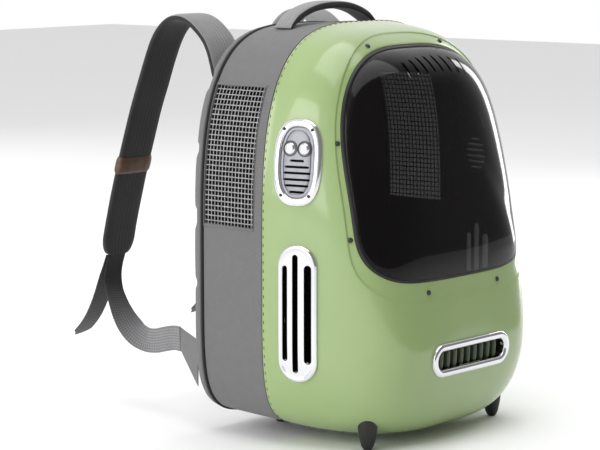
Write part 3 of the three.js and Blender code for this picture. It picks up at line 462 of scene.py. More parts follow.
def node(coat, kind, **settings):
    """A node with its settings: a name that is no attribute of the node sets an input."""
    made = coat.node_tree.nodes.new(kind)
    for key, value in settings.items():
        if hasattr(made, key):
            setattr(made, key, value)
        else:
            made.inputs[key.title()].default_value = value
    return made


def link(coat, source, target):
    """Joins two sockets of a finish."""
    coat.node_tree.links.new(source, target)


def shader_of(coat):
    """The one shader of a finish."""
    return coat.node_tree.nodes["Principled BSDF"]


def mottle(coat, dark, light, scale, detail=3.0):
    """Slow colour variation between two near tones, as the base colour."""
    place = node(coat, "ShaderNodeTexCoord")
    cloud = node(coat, "ShaderNodeTexNoise", scale=scale, detail=detail)
    ramp = node(coat, "ShaderNodeValToRGB")
    ramp.color_ramp.elements[0].position = 0.3
    ramp.color_ramp.elements[0].color = dark
    ramp.color_ramp.elements[1].position = 0.7
    ramp.color_ramp.elements[1].color = light
    link(coat, place.outputs["Object"], cloud.inputs["Vector"])
    link(coat, cloud.outputs["Fac"], ramp.inputs["Fac"])
    link(coat, ramp.outputs["Color"], shader_of(coat).inputs["Base Color"])


def ripple(coat, scale, strength, distance):
    """Fine unevenness of a surface, as bump."""
    place = node(coat, "ShaderNodeTexCoord")
    grain = node(coat, "ShaderNodeTexNoise", scale=scale, detail=4.0)
    bump = node(coat, "ShaderNodeBump", strength=strength, distance=distance)
    link(coat, place.outputs["Object"], grain.inputs["Vector"])
    link(coat, grain.outputs["Fac"], bump.inputs["Height"])
    link(coat, bump.outputs["Normal"], shader_of(coat).inputs["Normal"])


# %% [markdown]
# ## Plastics, rubber and plating
# The shell is a light green moulding with a clear gloss, so it gets a coat over a near even colour. The
# window lets some light through: its finish is nearly black and partly see-through, with little mirror, as
# the real one is dark in front and bright only along its far edge.

# %% Plastics, rubber and plating
green_plastic = new_finish("green_gloss", "green_plastic", paint(148, 170, 112), 0.24, Coat_Weight=0.6)
shader_of(green_plastic).inputs["Coat Roughness"].default_value = 0.06
mottle(green_plastic, paint(145, 169, 109), paint(152, 174, 117), 9.0)
ripple(green_plastic, 220.0, 0.05, 0.0004)

smoked_plastic = new_finish("smoked_clear", "smoked_plastic", paint(10, 7, 7), 0.05, Specular_IOR_Level=0.25)
shader_of(smoked_plastic).inputs["Alpha"].default_value = 0.82
mottle(smoked_plastic, paint(8, 6, 6), paint(14, 10, 10), 6.0)
smoked_plastic.surface_render_method = "BLENDED"

chrome = new_finish("bright_chrome", "chrome", paint(226, 226, 230), 0.07, Metallic=1.0)
ripple(chrome, 160.0, 0.03, 0.0003)
mottle(chrome, paint(220, 220, 226), paint(232, 232, 235), 14.0)

grey_plastic = new_finish("satin_grey", "grey_plastic", paint(150, 150, 158), 0.3, Coat_Weight=0.3)
mottle(grey_plastic, paint(146, 146, 154), paint(156, 156, 163), 30.0)
ripple(grey_plastic, 900.0, 0.12, 0.0002)

black_rubber = new_finish("black_rubber", "rubber", paint(22, 22, 22), 0.45)
mottle(black_rubber, paint(17, 17, 17), paint(28, 28, 28), 40.0)
ripple(black_rubber, 500.0, 0.2, 0.0003)

dark_plastic = new_finish("dark_satin", "dark_plastic", paint(40, 42, 40), 0.35)
mottle(dark_plastic, paint(34, 36, 34), paint(46, 48, 45), 60.0)
ripple(dark_plastic, 700.0, 0.1, 0.0002)

louvre_plastic = new_finish("olive_satin", "dark_plastic", paint(58, 70, 46), 0.35)
mottle(louvre_plastic, paint(52, 64, 42), paint(66, 78, 52), 40.0)
ripple(louvre_plastic, 700.0, 0.1, 0.0002)
print("plastic finishes made")

# %% [markdown]
# ## Cloth finishes
# The gusset, back and straps are a plain weave, the webbing is ribbed across its width, and the inside is
# lined in a near-black tone that is painted shade for the closed inside. Two wave textures along the flat
# map make warp and weft. Their product lifts each crossing, and a fine cloud keeps large areas from looking
# printed. The webbing and its tail are painted darker at their upper start: painted shade.

# %% Cloth
WAVE_TURN = 2 * math.pi / 20
MIX_FIRST, MIX_SECOND, MIX_COLOUR = 6, 7, 2


def woven(name, slot, dark, light, pitch, lift, ribs=(1.0, 1.0), painted_shade=None):
    """A plain weave with threads pitch metres apart, read from the flat map, with painted shade at its start
    if given.
    """
    coat = new_finish(name, slot, light, 0.9, Sheen_Weight=0.12)
    shader_of(coat).inputs["Sheen Roughness"].default_value = 0.5
    place = node(coat, "ShaderNodeTexCoord")
    waves = []
    for direction, rib in zip(("X", "Y"), ribs):
        wave = node(coat, "ShaderNodeTexWave", wave_type="BANDS", bands_direction=direction)
        wave.inputs["Scale"].default_value = WAVE_TURN / (pitch * rib)
        wave.inputs["Distortion"].default_value = 0.6
        wave.inputs["Detail"].default_value = 1.0
        link(coat, place.outputs["UV"], wave.inputs["Vector"])
        waves.append(wave)
    cross = node(coat, "ShaderNodeMath", operation="MULTIPLY")
    link(coat, waves[0].outputs["Fac"], cross.inputs[0])
    link(coat, waves[1].outputs["Fac"], cross.inputs[1])
    cloud = node(coat, "ShaderNodeTexNoise", scale=120.0, detail=4.0)
    link(coat, place.outputs["Object"], cloud.inputs["Vector"])
    blend = node(coat, "ShaderNodeMath", operation="MULTIPLY_ADD")
    blend.inputs[1].default_value = 0.35
    link(coat, cloud.outputs["Fac"], blend.inputs[0])
    link(coat, cross.outputs["Value"], blend.inputs[2])
    ramp = node(coat, "ShaderNodeValToRGB")
    ramp.color_ramp.elements[0].position = 0.05
    ramp.color_ramp.elements[0].color = dark
    ramp.color_ramp.elements[1].position = 0.85
    ramp.color_ramp.elements[1].color = light
    link(coat, blend.outputs["Value"], ramp.inputs["Fac"])
    colour = ramp.outputs["Color"]
    if painted_shade:
        colour = painted_shade_start(coat, place, colour, painted_shade)
    link(coat, colour, shader_of(coat).inputs["Base Color"])
    bump = node(coat, "ShaderNodeBump", strength=0.5, distance=lift)
    link(coat, cross.outputs["Value"], bump.inputs["Height"])
    link(coat, bump.outputs["Normal"], shader_of(coat).inputs["Normal"])
    return coat


def painted_shade_start(coat, place, colour, painted_shade):
    """Paints shade on a band: darker at its start, fading out between two lengths along it."""
    parts = node(coat, "ShaderNodeSeparateXYZ")
    run = node(coat, "ShaderNodeMapRange")
    run.inputs["From Min"].default_value = painted_shade["from"]
    run.inputs["From Max"].default_value = painted_shade["to"]
    mix = node(coat, "ShaderNodeMix", data_type="RGBA")
    mix.inputs[MIX_FIRST].default_value = painted_shade["colour"]
    link(coat, place.outputs["UV"], parts.inputs["Vector"])
    link(coat, parts.outputs["Y"], run.inputs["Value"])
    link(coat, run.outputs["Result"], mix.inputs["Factor"])
    link(coat, colour, mix.inputs[MIX_SECOND])
    return mix.outputs[MIX_COLOUR]


grey_cloth = woven("grey_weave", "grey_cloth", paint(98, 98, 99), paint(122, 122, 122), 0.0011, 0.0003)
strap_cloth = woven("strap_weave", "grey_cloth", paint(126, 126, 127), paint(156, 156, 156), 0.0012, 0.0003)
spacer_cloth = woven("spacer_mesh", "dark_cloth", paint(26, 26, 27), paint(52, 52, 54), 0.0013, 0.0003)
# The lining's near-black tone is painted shade for the closed inside of the bag.
lining_painted_shade = woven("dark_lining_painted_shade", "dark_cloth", paint(14, 14, 15), paint(26, 26, 27), 0.0012, 0.0003)
RIBS = (1.0, 2.4)
RIB_PITCH, RIB_LIFT = 0.0012, 0.0004
# The webbing and its tail are painted darker at their upper start: painted shade where they come out from
# under the strap.
WEBBING_PAINTED_SHADE = {"colour": paint(24, 24, 25), "from": 0.03, "to": 0.13}
TAIL_PAINTED_SHADE = {"colour": paint(34, 34, 35), "from": 0.0, "to": 0.14}
webbing_dark, webbing_light = paint(104, 104, 106), paint(146, 146, 147)
webbing_weave = woven(
    "ribbed_webbing", "dark_cloth", webbing_dark, webbing_light, RIB_PITCH, RIB_LIFT, RIBS, WEBBING_PAINTED_SHADE
)
tail_dark, tail_light = paint(78, 78, 80), paint(112, 112, 114)
tail_weave = woven(
    "tail_webbing", "dark_cloth", tail_dark, tail_light, RIB_PITCH, RIB_LIFT, RIBS, TAIL_PAINTED_SHADE
)
net_thread = new_finish("net_thread", "grey_cloth", paint(150, 150, 152), 0.75)
mottle(net_thread, paint(128, 128, 130), paint(176, 176, 178), 300.0)
ripple(net_thread, 2500.0, 0.3, 0.0002)
piping_cloth = woven("black_piping", "dark_cloth", paint(10, 10, 10), paint(24, 24, 24), 0.001, 0.0003)
seam_thread = new_finish("seam_thread", "dark_cloth", paint(34, 44, 28), 0.7)
mottle(seam_thread, paint(26, 36, 20), paint(44, 54, 34), 400.0)
tan_leather = new_finish("brown_leather", "tan_leather", paint(84, 58, 40), 0.5, Coat_Weight=0.1)
mottle(tan_leather, paint(68, 46, 32), paint(98, 70, 50), 120.0, 6.0)
ripple(tan_leather, 900.0, 0.35, 0.0004)
print("cloth finishes made")

# %% [markdown]
# ## Places on the shell
# The units, vents and grille are drawn flat, then stood on the shell. A place is a point with three
# directions: aside, up and out. A drawing is laid down by sliding each of its points along the outward
# direction until it meets the shell, at the wanted height above it.

# %% Places
REACH = 30
NORMAL_STEP = 0.015
VENT_AT = {"depth": -84.5, "height": 132.6}
GRILLE_HEIGHT = 84


def unit_vector(v):
    """A direction of length 1."""
    return v / np.linalg.norm(v)


def shell_normal(point):
    """Outward direction of the shell at a point on it."""
    away = unit_vector(point - np.array([0, SEAM_PLANE, HUB_HEIGHT]))
    aside = unit_vector(np.cross([0, 0, 1], away))
    aloft = np.cross(away, aside)

    def at(direction, size):
        way = unit_vector(away + direction * size)
        angle, lift = np.array([math.atan2(way[2], way[0])]), np.array([math.asin(-way[1])])
        return shell_ray(angle, lift, 0)[0]

    across = at(aside, NORMAL_STEP) - at(aside, -NORMAL_STEP)
    along = at(aloft, NORMAL_STEP) - at(aloft, -NORMAL_STEP)
    normal = unit_vector(np.cross(across, along))
    return normal if normal @ away > 0 else -normal


def stand_on(point, out):
    """A place at a point, facing out, with its sides level."""
    point, out = np.array(point, float), np.array(out, float)
    up = unit_vector(np.array([0, 0, 1]) - out * out[2])
    return {"at": point, "aside": np.cross(up, out), "up": up, "out": out}


def drawn(place, across, along, out):
    """Points of a drawing that stands on a place."""
    across, along, out = np.broadcast_arrays(across, along, out)
    return (
        place["at"]
        + across[..., None] * place["aside"]
        + along[..., None] * place["up"]
        + out[..., None] * place["out"]
    )


def laid(place, across, along, height):
    """Points of a drawing laid on the shell, at a height over it."""
    across, along, height = np.broadcast_arrays(across, along, height)

    def inside(t):
        spot = drawn(place, across, along, t)
        return inside_shell(spot[..., 0], spot[..., 1], spot[..., 2], height)

    t = last_inside(inside, np.full(across.shape, -float(REACH)), np.full(across.shape, float(REACH)))
    return drawn(place, across, along, t)


def side_place(depth, height):
    """The place on the left side of the shell at a point of the side view."""
    point = np.array([-shell_side(depth, height), depth, height])
    return stand_on(point, shell_normal(point))


unit_place = side_place(**UNIT_AT)
vent_place = side_place(**VENT_AT)
grille_depth = float(shell_front(np.zeros(1), np.full(1, float(GRILLE_HEIGHT)), 0)[0])
grille_place = stand_on([0, grille_depth, GRILLE_HEIGHT], [0, -1, 0])
print("unit faces", np.round(unit_place["out"], 3))

# %% [markdown]
# ## Outlines for rims and slots
# Two flat outlines serve every rim, plate, slot and slat: an oval with nearly straight sides, and a pill.
# Each is a function of how far it is drawn in, so that one profile can run from its edge to its middle.

# %% Drawn outlines
OVAL_POWER = 2.7


def oval(width, tall, steps):
    """Outline of an oval with nearly straight sides, as a function of how far it is drawn in."""
    turn = np.linspace(0, 2 * math.pi, steps + 1)
    bend = 2 / OVAL_POWER
    a = np.sign(np.cos(turn)) * np.abs(np.cos(turn)) ** bend
    b = np.sign(np.sin(turn)) * np.abs(np.sin(turn)) ** bend
    a[-1], b[-1] = a[0], b[0]
    return lambda inset: (a * (width / 2 - inset), b * (tall / 2 - inset))


def pill(width, tall, steps, x=0.0, y=0.0):
    """Outline of a bar with half-round ends: two straight quarters and two round ones."""
    radius = min(width, tall) / 2
    turn = np.linspace(0, 2 * math.pi, steps + 1)
    turn[-1] = 0
    swapped = tall > width
    run, rise = (np.sin(turn), np.cos(turn)) if swapped else (np.cos(turn), np.sin(turn))
    corner = math.cos(math.pi / 4)
    core = np.clip(run / corner, -1, 1) * (max(width, tall) / 2 - radius)
    at_end = np.abs(run) > corner - 1e-9
    bow = np.where(at_end, np.arctan2(rise, np.abs(run)) * 2, np.sign(rise) * math.pi / 2)
    ahead, beside = np.sign(run) * np.cos(bow) * at_end, np.sin(bow)

    def outline(inset):
        long_way, short_way = core + ahead * (radius - inset), beside * (radius - inset)
        return (x + short_way, y + long_way) if swapped else (x + long_way, y + short_way)

    return outline


def laid_ring(place, outline, profile):
    """Sheet through rings of an outline: each row of the profile is how far in, and how high up."""
    rings = []
    for inset, height in profile:
        across, along = outline(inset)
        rings.append(laid(place, across, along, height))
    return lay_grid(np.array(rings))


def peg(place, outline, low, high):
    """Closed prism of an outline, for cutting."""
    rings = []
    for inset, out in ((None, low), (0, low), (0, high), (None, high)):
        across, along = outline(0)
        if inset is None:
            across, along = 0 * across + across.mean(), 0 * along + along.mean()
        rings.append(drawn(place, across, along, out))
    return lay_grid(np.array(rings))


def in_oval(a, b, width, tall):
    """True inside an oval."""
    return (np.abs(a) / (width / 2)) ** OVAL_POWER + (np.abs(b) / (tall / 2)) ** OVAL_POWER < 1


def in_pill(a, b, width, tall):
    """True inside a pill."""
    radius = min(width, tall) / 2
    dx = np.maximum(np.abs(a) - (width / 2 - radius), 0)
    dy = np.maximum(np.abs(b) - (tall / 2 - radius), 0)
    return dx**2 + dy**2 < radius**2


print("outlines ready")

# %% [markdown]
# ## Front shell
# The real shell is injection moulded in one go: a smooth outer skin, a shallow recess round the window
# where the screws sit, and a wall about 3 mm thick. It is laid here as one closed sheet of rings: out
# along the skin, down the rounded step, across the recess, over the lip and back along the inner wall.
# Faces behind the units, vents and grille are then deleted, and the two walls are bridged round each
# hole.

# %% Shell moulding
SKIN_ROWS = 72
INNER_ROWS = 30
UNIT = {"width": 51, "tall": 83, "ring": 8}
VENT = {"width": 41.5, "tall": 132.5, "ring": 3.5}
GRILLE = {"width": 126, "tall": 33, "ring": 8}
STEP_PROFILE = [
    {"way": 0.05, "sink": 0.12},
    {"way": 0.1, "sink": 0.5},
    {"way": 0.15, "sink": 0.88},
    {"way": 0.22, "sink": 1.0},
    {"way": 0.5, "sink": 1.0},
    {"way": 0.8, "sink": 1.0},
    {"way": 0.95, "sink": 1.05},
    {"way": 0.99, "sink": 1.3},
    {"way": 1.0, "sink": 1.8},
]


def shell_at_outline(angle, radius, grow):
    """Points of the shell at an outline of the front view, and their lift."""
    x, z = radius * np.cos(angle), HUB_HEIGHT + radius * np.sin(angle)
    y = shell_front(x, z, grow)
    return np.stack([x, y, z], axis=-1), np.arctan2(SEAM_PLANE - y, radius)


def skin_rings(outline, rows, grow):
    """Rings along the shell from the seam to an outline of the front view."""
    end, lift = shell_at_outline(rays, outline_radius(outline, rays), grow)
    rings = [shell_ray(rays, lift * row / rows, grow) for row in range(rows)]
    return [*rings, end]


def recess_ring(way, grow):
    """Ring of the recess: way 0 at its outer edge and 1 at the window."""
    flange = outline_radius(FLANGE, rays)
    opening = outline_radius(WINDOW, rays)
    return shell_at_outline(rays, flange + (opening - flange) * way, grow)[0]


shell_rings = skin_rings(FLANGE, SKIN_ROWS, 0)
shell_rings += [recess_ring(step["way"], -step["sink"]) for step in STEP_PROFILE]
shell_rings += skin_rings(WINDOW, INNER_ROWS, -SHELL_WALL)[::-1]
shell_rings.append(shell_rings[0])
shell_mesh = lay_grid(np.array(shell_rings))


def to_drawing(spots):
    """Points of the frame as points of the drawing."""
    return np.stack([spots[:, 0] / MM, (spots[:, 1] - SEAM_Y) / MM + SEAM_PLANE, spots[:, 2] / MM], axis=-1)


def cut_window(mesh, test):
    """Deletes the faces whose middles pass a test, and bridges the outer wall to the inner one."""
    middles = to_drawing(np.array([f.calc_center_median() for f in mesh.faces]))
    doomed = [f for f, gone in zip(mesh.faces, test(middles)) if gone]
    bmesh.ops.delete(mesh, geom=doomed, context="FACES")
    rim = [e for e in mesh.edges if e.is_boundary]
    bmesh.ops.bridge_loops(mesh, edges=rim)
    return len(doomed)


HOLE_REACH = 25
HOLE_TRIM = 1.6


def behind(place, test, side):
    """A test for points that lie behind a drawing that stands on one side of the shell."""

    def check(middles):
        turned = middles * np.array([side, 1, 1]) - place["at"]
        a, b, t = turned @ place["aside"], turned @ place["up"], turned @ place["out"]
        return test(a, b) & (np.abs(t) < HOLE_REACH)

    return check


def hole_size(part, trims):
    """Width and height of the hole behind a rim: the rim's inside and some trims."""
    return [part[way] - 2 * part["ring"] + trims * HOLE_TRIM for way in ("width", "tall")]


for side in (1, -1):
    unit_hole, vent_hole = hole_size(UNIT, 3), hole_size(VENT, 1)
    cut_window(shell_mesh, behind(unit_place, lambda a, b: in_oval(a, b, *unit_hole), side))
    cut_window(shell_mesh, behind(vent_place, lambda a, b: in_pill(a, b, *vent_hole), side))
mouth = hole_size(GRILLE, 2)
cut_window(shell_mesh, behind(grille_place, lambda a, b: in_pill(a, b, *mouth), 1))
shell = piece("shell_moulding", shell_mesh, green_plastic, ["front_shell"], sharp=50)

# %% [markdown]
# ## Lining
# Through the window the inside looks nearly black, so the inner wall gets a dark cloth finish whose
# near-black tone is painted shade for the closed inside. The faces that lie under the skin take it; they
# are found with the same rule that shaped them.

# %% Dark inside of the shell
shell.data.materials.append(lining_painted_shade)
middles = to_drawing(np.array([p.center for p in shell.data.polygons]))
deep = inside_shell(middles[:, 0], middles[:, 1], middles[:, 2], -SHELL_WALL + 0.4)
shell.data.polygons.foreach_set("material_index", deep.astype(int))
print("lined faces:", int(deep.sum()))

# %% [markdown]
# ## Gasket
# A soft black ring seals the smoked bubble in its opening. Its round section is carried along the
# opening's outline, on the floor of the recess.

# %% Gasket
GASKET_NEAR = 0.2
GASKET_WIDTH = 3.0
GASKET_ROWS = 14
GASKET_SINK = 1.4
GASKET_HALF_DEPTH = 1.6


def window_ring(inset, sink):
    """Ring round the window opening, sunk into it."""
    ring, _ = shell_at_outline(rays, outline_radius(inset_window(inset), rays), -FLANGE_STEP)
    return ring + np.array([0, sink, 0])


gasket_rings = []
for turn in np.linspace(0, 2 * math.pi, GASKET_ROWS + 1):
    inset = GASKET_NEAR + GASKET_WIDTH * (0.5 - 0.5 * math.cos(turn))
    gasket_rings.append(window_ring(inset, GASKET_SINK - GASKET_HALF_DEPTH * math.sin(turn)))
gasket_rings[-1] = gasket_rings[0]
piece("window_seal", lay_grid(np.array(gasket_rings)), black_rubber, ["window_gasket"], sharp=60)

# %% [markdown]
# ## The bubble
# A bubble could be a stretched ball, but it would not meet its rim. So each ring is the rim drawn in
# towards the crest, lifted by a curve that is steep at first and flat later. It has two skins, so light
# is dimmed twice, and eight slots near its top are cut through with pegs.

# %% Bubble
DOME_INSET = 2.8
DOME_WALL = 2.4
DOME_CREST_HEIGHT = 330
DOME_CREST_DEPTH = 105.4
DOME_ROWS = 46
SLOT_COUNT = 8
SLOT_PITCH = 12.6
SLOT = {"height": 364.5, "drop": 4.5, "width": 3.4, "tall": 15.5}


def dome_ring(share, extra, sink):
    """Ring of the bubble: share 1 at its rim and 0 at its crest."""
    rim, _ = shell_at_outline(rays, outline_radius(inset_window(DOME_INSET + extra), rays), -FLANGE_STEP)
    z = DOME_CREST_HEIGHT + (rim[:, 2] - DOME_CREST_HEIGHT) * share
    rise = max(1 - share**2.22, 0) ** (1 / 1.48)
    drop = z - DOME_CREST_HEIGHT
    crest = SEAM_PLANE - DOME_CREST_DEPTH + 0.06 * drop - 4.67 * (drop / 100) ** 2
    return np.stack([rim[:, 0] * share, rim[:, 1] * (1 - rise) + crest * rise + sink, z], axis=-1)


shares = [math.sin(row * math.pi / 2 / DOME_ROWS) for row in range(DOME_ROWS + 1)]
dome_rings = [dome_ring(share, 0, 0) for share in shares]
dome_rings += [dome_ring(share, DOME_WALL, DOME_WALL) for share in shares[::-1]]
dome = show("bubble_window", lay_grid(np.array(dome_rings)))
slots = []
for i in range(SLOT_COUNT):
    x = (i - (SLOT_COUNT - 1) / 2) * SLOT_PITCH
    drop = SLOT["drop"] * (x / (SLOT_PITCH * (SLOT_COUNT - 1) / 2)) ** 2
    spot = stand_on([x, SEAM_PLANE - DOME_CREST_DEPTH, SLOT["height"] - drop], [0, -1, 0])
    slots.append(peg(spot, pill(SLOT["width"], SLOT["tall"], 24), -REACH * 2, REACH))
carve(dome, join(slots))
dress(dome, smoked_plastic, ["dome_window"], sharp=50)

# %% [markdown]
# ## Round pieces
# Screws, push buttons and feet are turned shapes. A profile is drawn as a few points and spun round its
# axis with the spin operator, then stood on its place.

# %% Turned pieces
SPIN_STEPS = 32


def turned(place, profile, steps=SPIN_STEPS):
    """Spins a profile of radius and height round a place's outward direction."""
    mesh = bmesh.new()
    mesh.loops.layers.uv.new("UVMap")
    corners = [mesh.verts.new((radius, 0, height)) for radius, height in profile]
    edges = [mesh.edges.new(pair) for pair in zip(corners, corners[1:])]
    bmesh.ops.spin(
        mesh,
        geom=[*corners, *edges],
        axis=(0, 0, 1),
        cent=(0, 0, 0),
        steps=steps,
        angle=2 * math.pi,
        use_merge=True,
    )
    bmesh.ops.remove_doubles(mesh, verts=mesh.verts, dist=1e-4)
    for corner in mesh.verts:
        spot = drawn(place, *(np.array(c) for c in corner.co))
        corner.co = to_metres(spot)
    bmesh.ops.recalc_face_normals(mesh, faces=mesh.faces)
    return mesh


SCREW_ANGLES = (68, 24, -14, -57)
SCREW_SHANK = [(0, -5), (1.3, -5), (1.3, 0.2)]
SCREW_PROFILE = [*SCREW_SHANK, (2.5, 0.2), (2.5, 0.8), (2.1, 1.5), (1.2, 1.9), (0.5, 1.9), (0, 1.4)]
for side, hand in ((-1, "left"), (1, "right")):
    for level, degrees in enumerate(SCREW_ANGLES, start=1):
        tilt = math.radians(degrees)
        angle = np.array([tilt if side > 0 else math.pi - tilt])
        middle = (outline_radius(WINDOW, angle) + outline_radius(FLANGE, angle)) / 2
        point = shell_at_outline(angle, middle, -FLANGE_STEP)[0][0]
        head = turned(stand_on(point, shell_normal(point)), SCREW_PROFILE, 20)
        piece(f"screw_head_{hand}_{level}", head, dark_plastic, [f"window_screw_{hand}_{level}"], sharp=30)

# %% [markdown]
# ## Chrome rims, plates and buttons
# High on each side an oval chrome rim frames a grey plate. On the left the plate carries two push buttons
# over six slots; on the right it is a plain vent. The rim is a swept section that follows the shell, the
# plate has a fine groove near its edge, and the slots are cut through it.

# %% Side units
RIM_PROFILE = [
    (0, -0.4), (0, 1.2), (0.35, 2.1), (1.2, 2.8), (2.6, 3.2), (4.2, 3.3), (5.8, 3.1),
    (7.0, 2.6), (7.6, 1.8), (7.8, 0.8), (7.8, -2.4), (4.0, -0.4), (0, -0.4),
]
PLATE_PROFILE = [
    (17.5, -2.4), (0, -2.4), (0, 0.3), (0.5, 0.9), (2.2, 1.0), (2.6, 0.9), (2.8, -0.3),
    (3.7, -0.3), (3.9, 0.9), (4.4, 1.1), (8, 1.15), (12, 1.2), (17.5, 1.2),
]
PLATE_SLOTS = [
    {"drop": -1.6, "width": 15},
    {"drop": 4.3, "width": 26},
    {"drop": 10, "width": 29},
    {"drop": 16.2, "width": 29},
    {"drop": 21.9, "width": 26},
    {"drop": 27.9, "width": 16},
]
PLATE_SLOT_TALL = 2.3
unit_rim = piece(
    "unit_rim_left",
    laid_ring(unit_place, oval(UNIT["width"], UNIT["tall"], 96), RIM_PROFILE),
    chrome,
    ["unit_bezel_left"],
    sharp=60,
)
dress(other_side(unit_rim, "unit_rim_right"), chrome, ["unit_bezel_right"], sharp=60)

PLATE_FIT = 0.2
plate_outline = oval(*(UNIT[way] - 2 * UNIT["ring"] + PLATE_FIT for way in ("width", "tall")), 80)
plate = show("button_plate_left", close_ends(laid_ring(unit_place, plate_outline, PLATE_PROFILE)))
slits = [pill(slot["width"], PLATE_SLOT_TALL, 24, 0, -slot["drop"]) for slot in PLATE_SLOTS]
carve(plate, join([peg(unit_place, slit, -12, 8) for slit in slits]))
dress(other_side(plate, "vent_insert_right"), grey_plastic, ["vent_plate_right"])

# %% [markdown]
# ## Push buttons
# The two plated caps ride on their own bodies, so that they can be pressed. Each sits in a well cut in the
# plate, inside a thin dark collar that hides the clearance.

# %% Push buttons
BUTTON_RAISE = 13
BUTTON_SPACING = 15
BUTTON_PROFILE = [
    (0, -4), (5.4, -4), (5.9, -3.4), (5.9, 0.4), (5.7, 1.4), (5.1, 2.3), (4.1, 2.95),
    (2.8, 3.3), (1.5, 3.4), (1.25, 2.9), (0, 2.8),
]
for side, spot in ((-1, "rear"), (1, "front")):
    across = np.array([side * BUTTON_SPACING / 2])
    seat = laid(unit_place, across, np.array([float(BUTTON_RAISE)]), 1.0)[0]
    place = {**unit_place, "at": seat}
    well = turned(place, [(0, -9), (6.4, -9), (6.4, 6), (0, 6)], 40)
    carve(plate, well)
    node_name = f"push_button_{spot}"
    piece(f"press_cap_{spot}", turned(place, BUTTON_PROFILE, 40), chrome, [node_name], f"button_{spot}", 60)
    collar = [(6.5, -2), (6.5, 0.9), (6.9, 1.1), (7.4, 1.0), (7.5, 0.1), (7.5, -2), (6.5, -2)]
    piece(f"button_collar_{spot}", turned(place, collar, 40), dark_plastic, sharp=60)
dress(plate, grey_plastic, ["control_plate_left"])

# %% [markdown]
# ## Screws in the rims
# Four small screws hold each rim. They are turned like the others, and set where the rim is highest.

# %% Rim screws
RIM_SCREW_TURNS = (52, 128, 232, 308)
RIM_MIDDLE, RIM_CREST = 4.2, 3.4
CROSS_SCREW = [(0, -1), (1.7, -1), (1.7, 0.25), (1.45, 0.6), (0.8, 0.75), (0.3, 0.35), (0, 0.3)]
for number, degrees in enumerate(RIM_SCREW_TURNS, start=1):
    turn = math.radians(degrees)
    bend = 2 / OVAL_POWER
    across = math.copysign(abs(math.cos(turn)) ** bend, math.cos(turn)) * (UNIT["width"] / 2 - RIM_MIDDLE)
    along = math.copysign(abs(math.sin(turn)) ** bend, math.sin(turn)) * (UNIT["tall"] / 2 - RIM_MIDDLE)
    seat = laid(unit_place, np.array([across]), np.array([along]), RIM_CREST)[0]
    head = turned({**unit_place, "at": seat}, CROSS_SCREW, 16)
    left = piece(f"rim_screw_left_{number}", head, dark_plastic, sharp=30)
    dress(other_side(left, f"rim_screw_right_{number}"), dark_plastic, sharp=30)

# %% [markdown]
# ## Tall chrome vents
# Low on each side a long chrome pill stands on the shell, with three upright slots of different widths
# that open into the cabin. The pill is laid on the shell as rings that run in to its middle line, and the
# slots are cut.

# %% Side vents
VENT_PROFILE = [
    (20.7, -2.4), (3.6, -2.4), (3.5, -0.4), (0, -0.4), (0, 1.4), (0.5, 2.4), (1.5, 3.1),
    (2.8, 3.3), (3.9, 3.0), (4.6, 2.5), (6, 2.4), (10, 2.4), (15, 2.4), (20.7, 2.4),
]
VENT_SLOTS = [
    {"across": -13.0, "width": 5.5, "tall": 92},
    {"across": -1.8, "width": 6.1, "tall": 114},
    {"across": 11.6, "width": 8, "tall": 95},
]
VENT_MERGE = 1.2e-4
vent_mesh = laid_ring(vent_place, pill(VENT["width"], VENT["tall"], 120), VENT_PROFILE)
bmesh.ops.remove_doubles(vent_mesh, verts=vent_mesh.verts, dist=VENT_MERGE)
vent = show("tall_vent_left", close_ends(vent_mesh))
slits = [pill(slot["width"], slot["tall"], 32, slot["across"]) for slot in VENT_SLOTS]
carve(vent, join([peg(vent_place, slit, -14, 10) for slit in slits]))
dress(vent, chrome, ["side_vent_left"])
dress(other_side(vent, "tall_vent_right"), chrome, ["side_vent_right"])

# %% [markdown]
# ## Grille
# Low on the front a heavy chrome pill frames a dark mouth with upright olive slats. The slats are
# separate bars that stand behind the rim in front of a black backing, painted shade that stands in for the
# deep dark inside, so the gaps between them look deep.

# %% Grille
GRILLE_PROFILE = [
    (0, -0.4), (0, 1.4), (0.4, 2.4), (1.4, 3.0), (3.0, 3.3), (4.8, 3.2), (6.4, 2.6),
    (7.4, 1.5), (7.8, 0.2), (7.8, -5), (5, -2.6), (0, -0.4),
]
SLAT_COUNT = 9
SLAT_PITCH = 11
SLAT_WIDTH = 5.2
SLAT_PROFILE = [(2.59, -9), (0, -9), (0, -3.4), (0.5, -2.4), (1.4, -1.9), (2.59, -1.8)]
SHADE_BACKING_MARGIN = 6
SHADE_BACKING_PROFILE = [(11.4, -12), (0, -12), (0, -9.5), (6, -9.5), (11.4, -9.5)]
SHADE_BACKING_MERGE = 1.5e-4
grille_rim = laid_ring(grille_place, pill(GRILLE["width"], GRILLE["tall"], 140), GRILLE_PROFILE)
piece("grille_rim", grille_rim, chrome, ["grille_bezel"], sharp=60)
mouth_width, mouth_tall = GRILLE["width"] - 2 * GRILLE["ring"], GRILLE["tall"] - 2 * GRILLE["ring"]
slats = []
for i in range(SLAT_COUNT):
    x = (i - (SLAT_COUNT - 1) / 2) * SLAT_PITCH
    past = max(abs(x) + SLAT_WIDTH / 2 - (mouth_width - mouth_tall) / 2, 0)
    tall = 2 * math.sqrt(max((mouth_tall / 2) ** 2 - past**2, 9)) + 1
    rings = []
    for inset, out in SLAT_PROFILE:
        across, along = pill(SLAT_WIDTH, tall, 20, x)(inset)
        rings.append(laid(grille_place, across, along, out))
    slats.append(close_ends(lay_grid(np.array(rings))))
piece("grille_slats", join(slats), louvre_plastic, ["grille_louvres"])
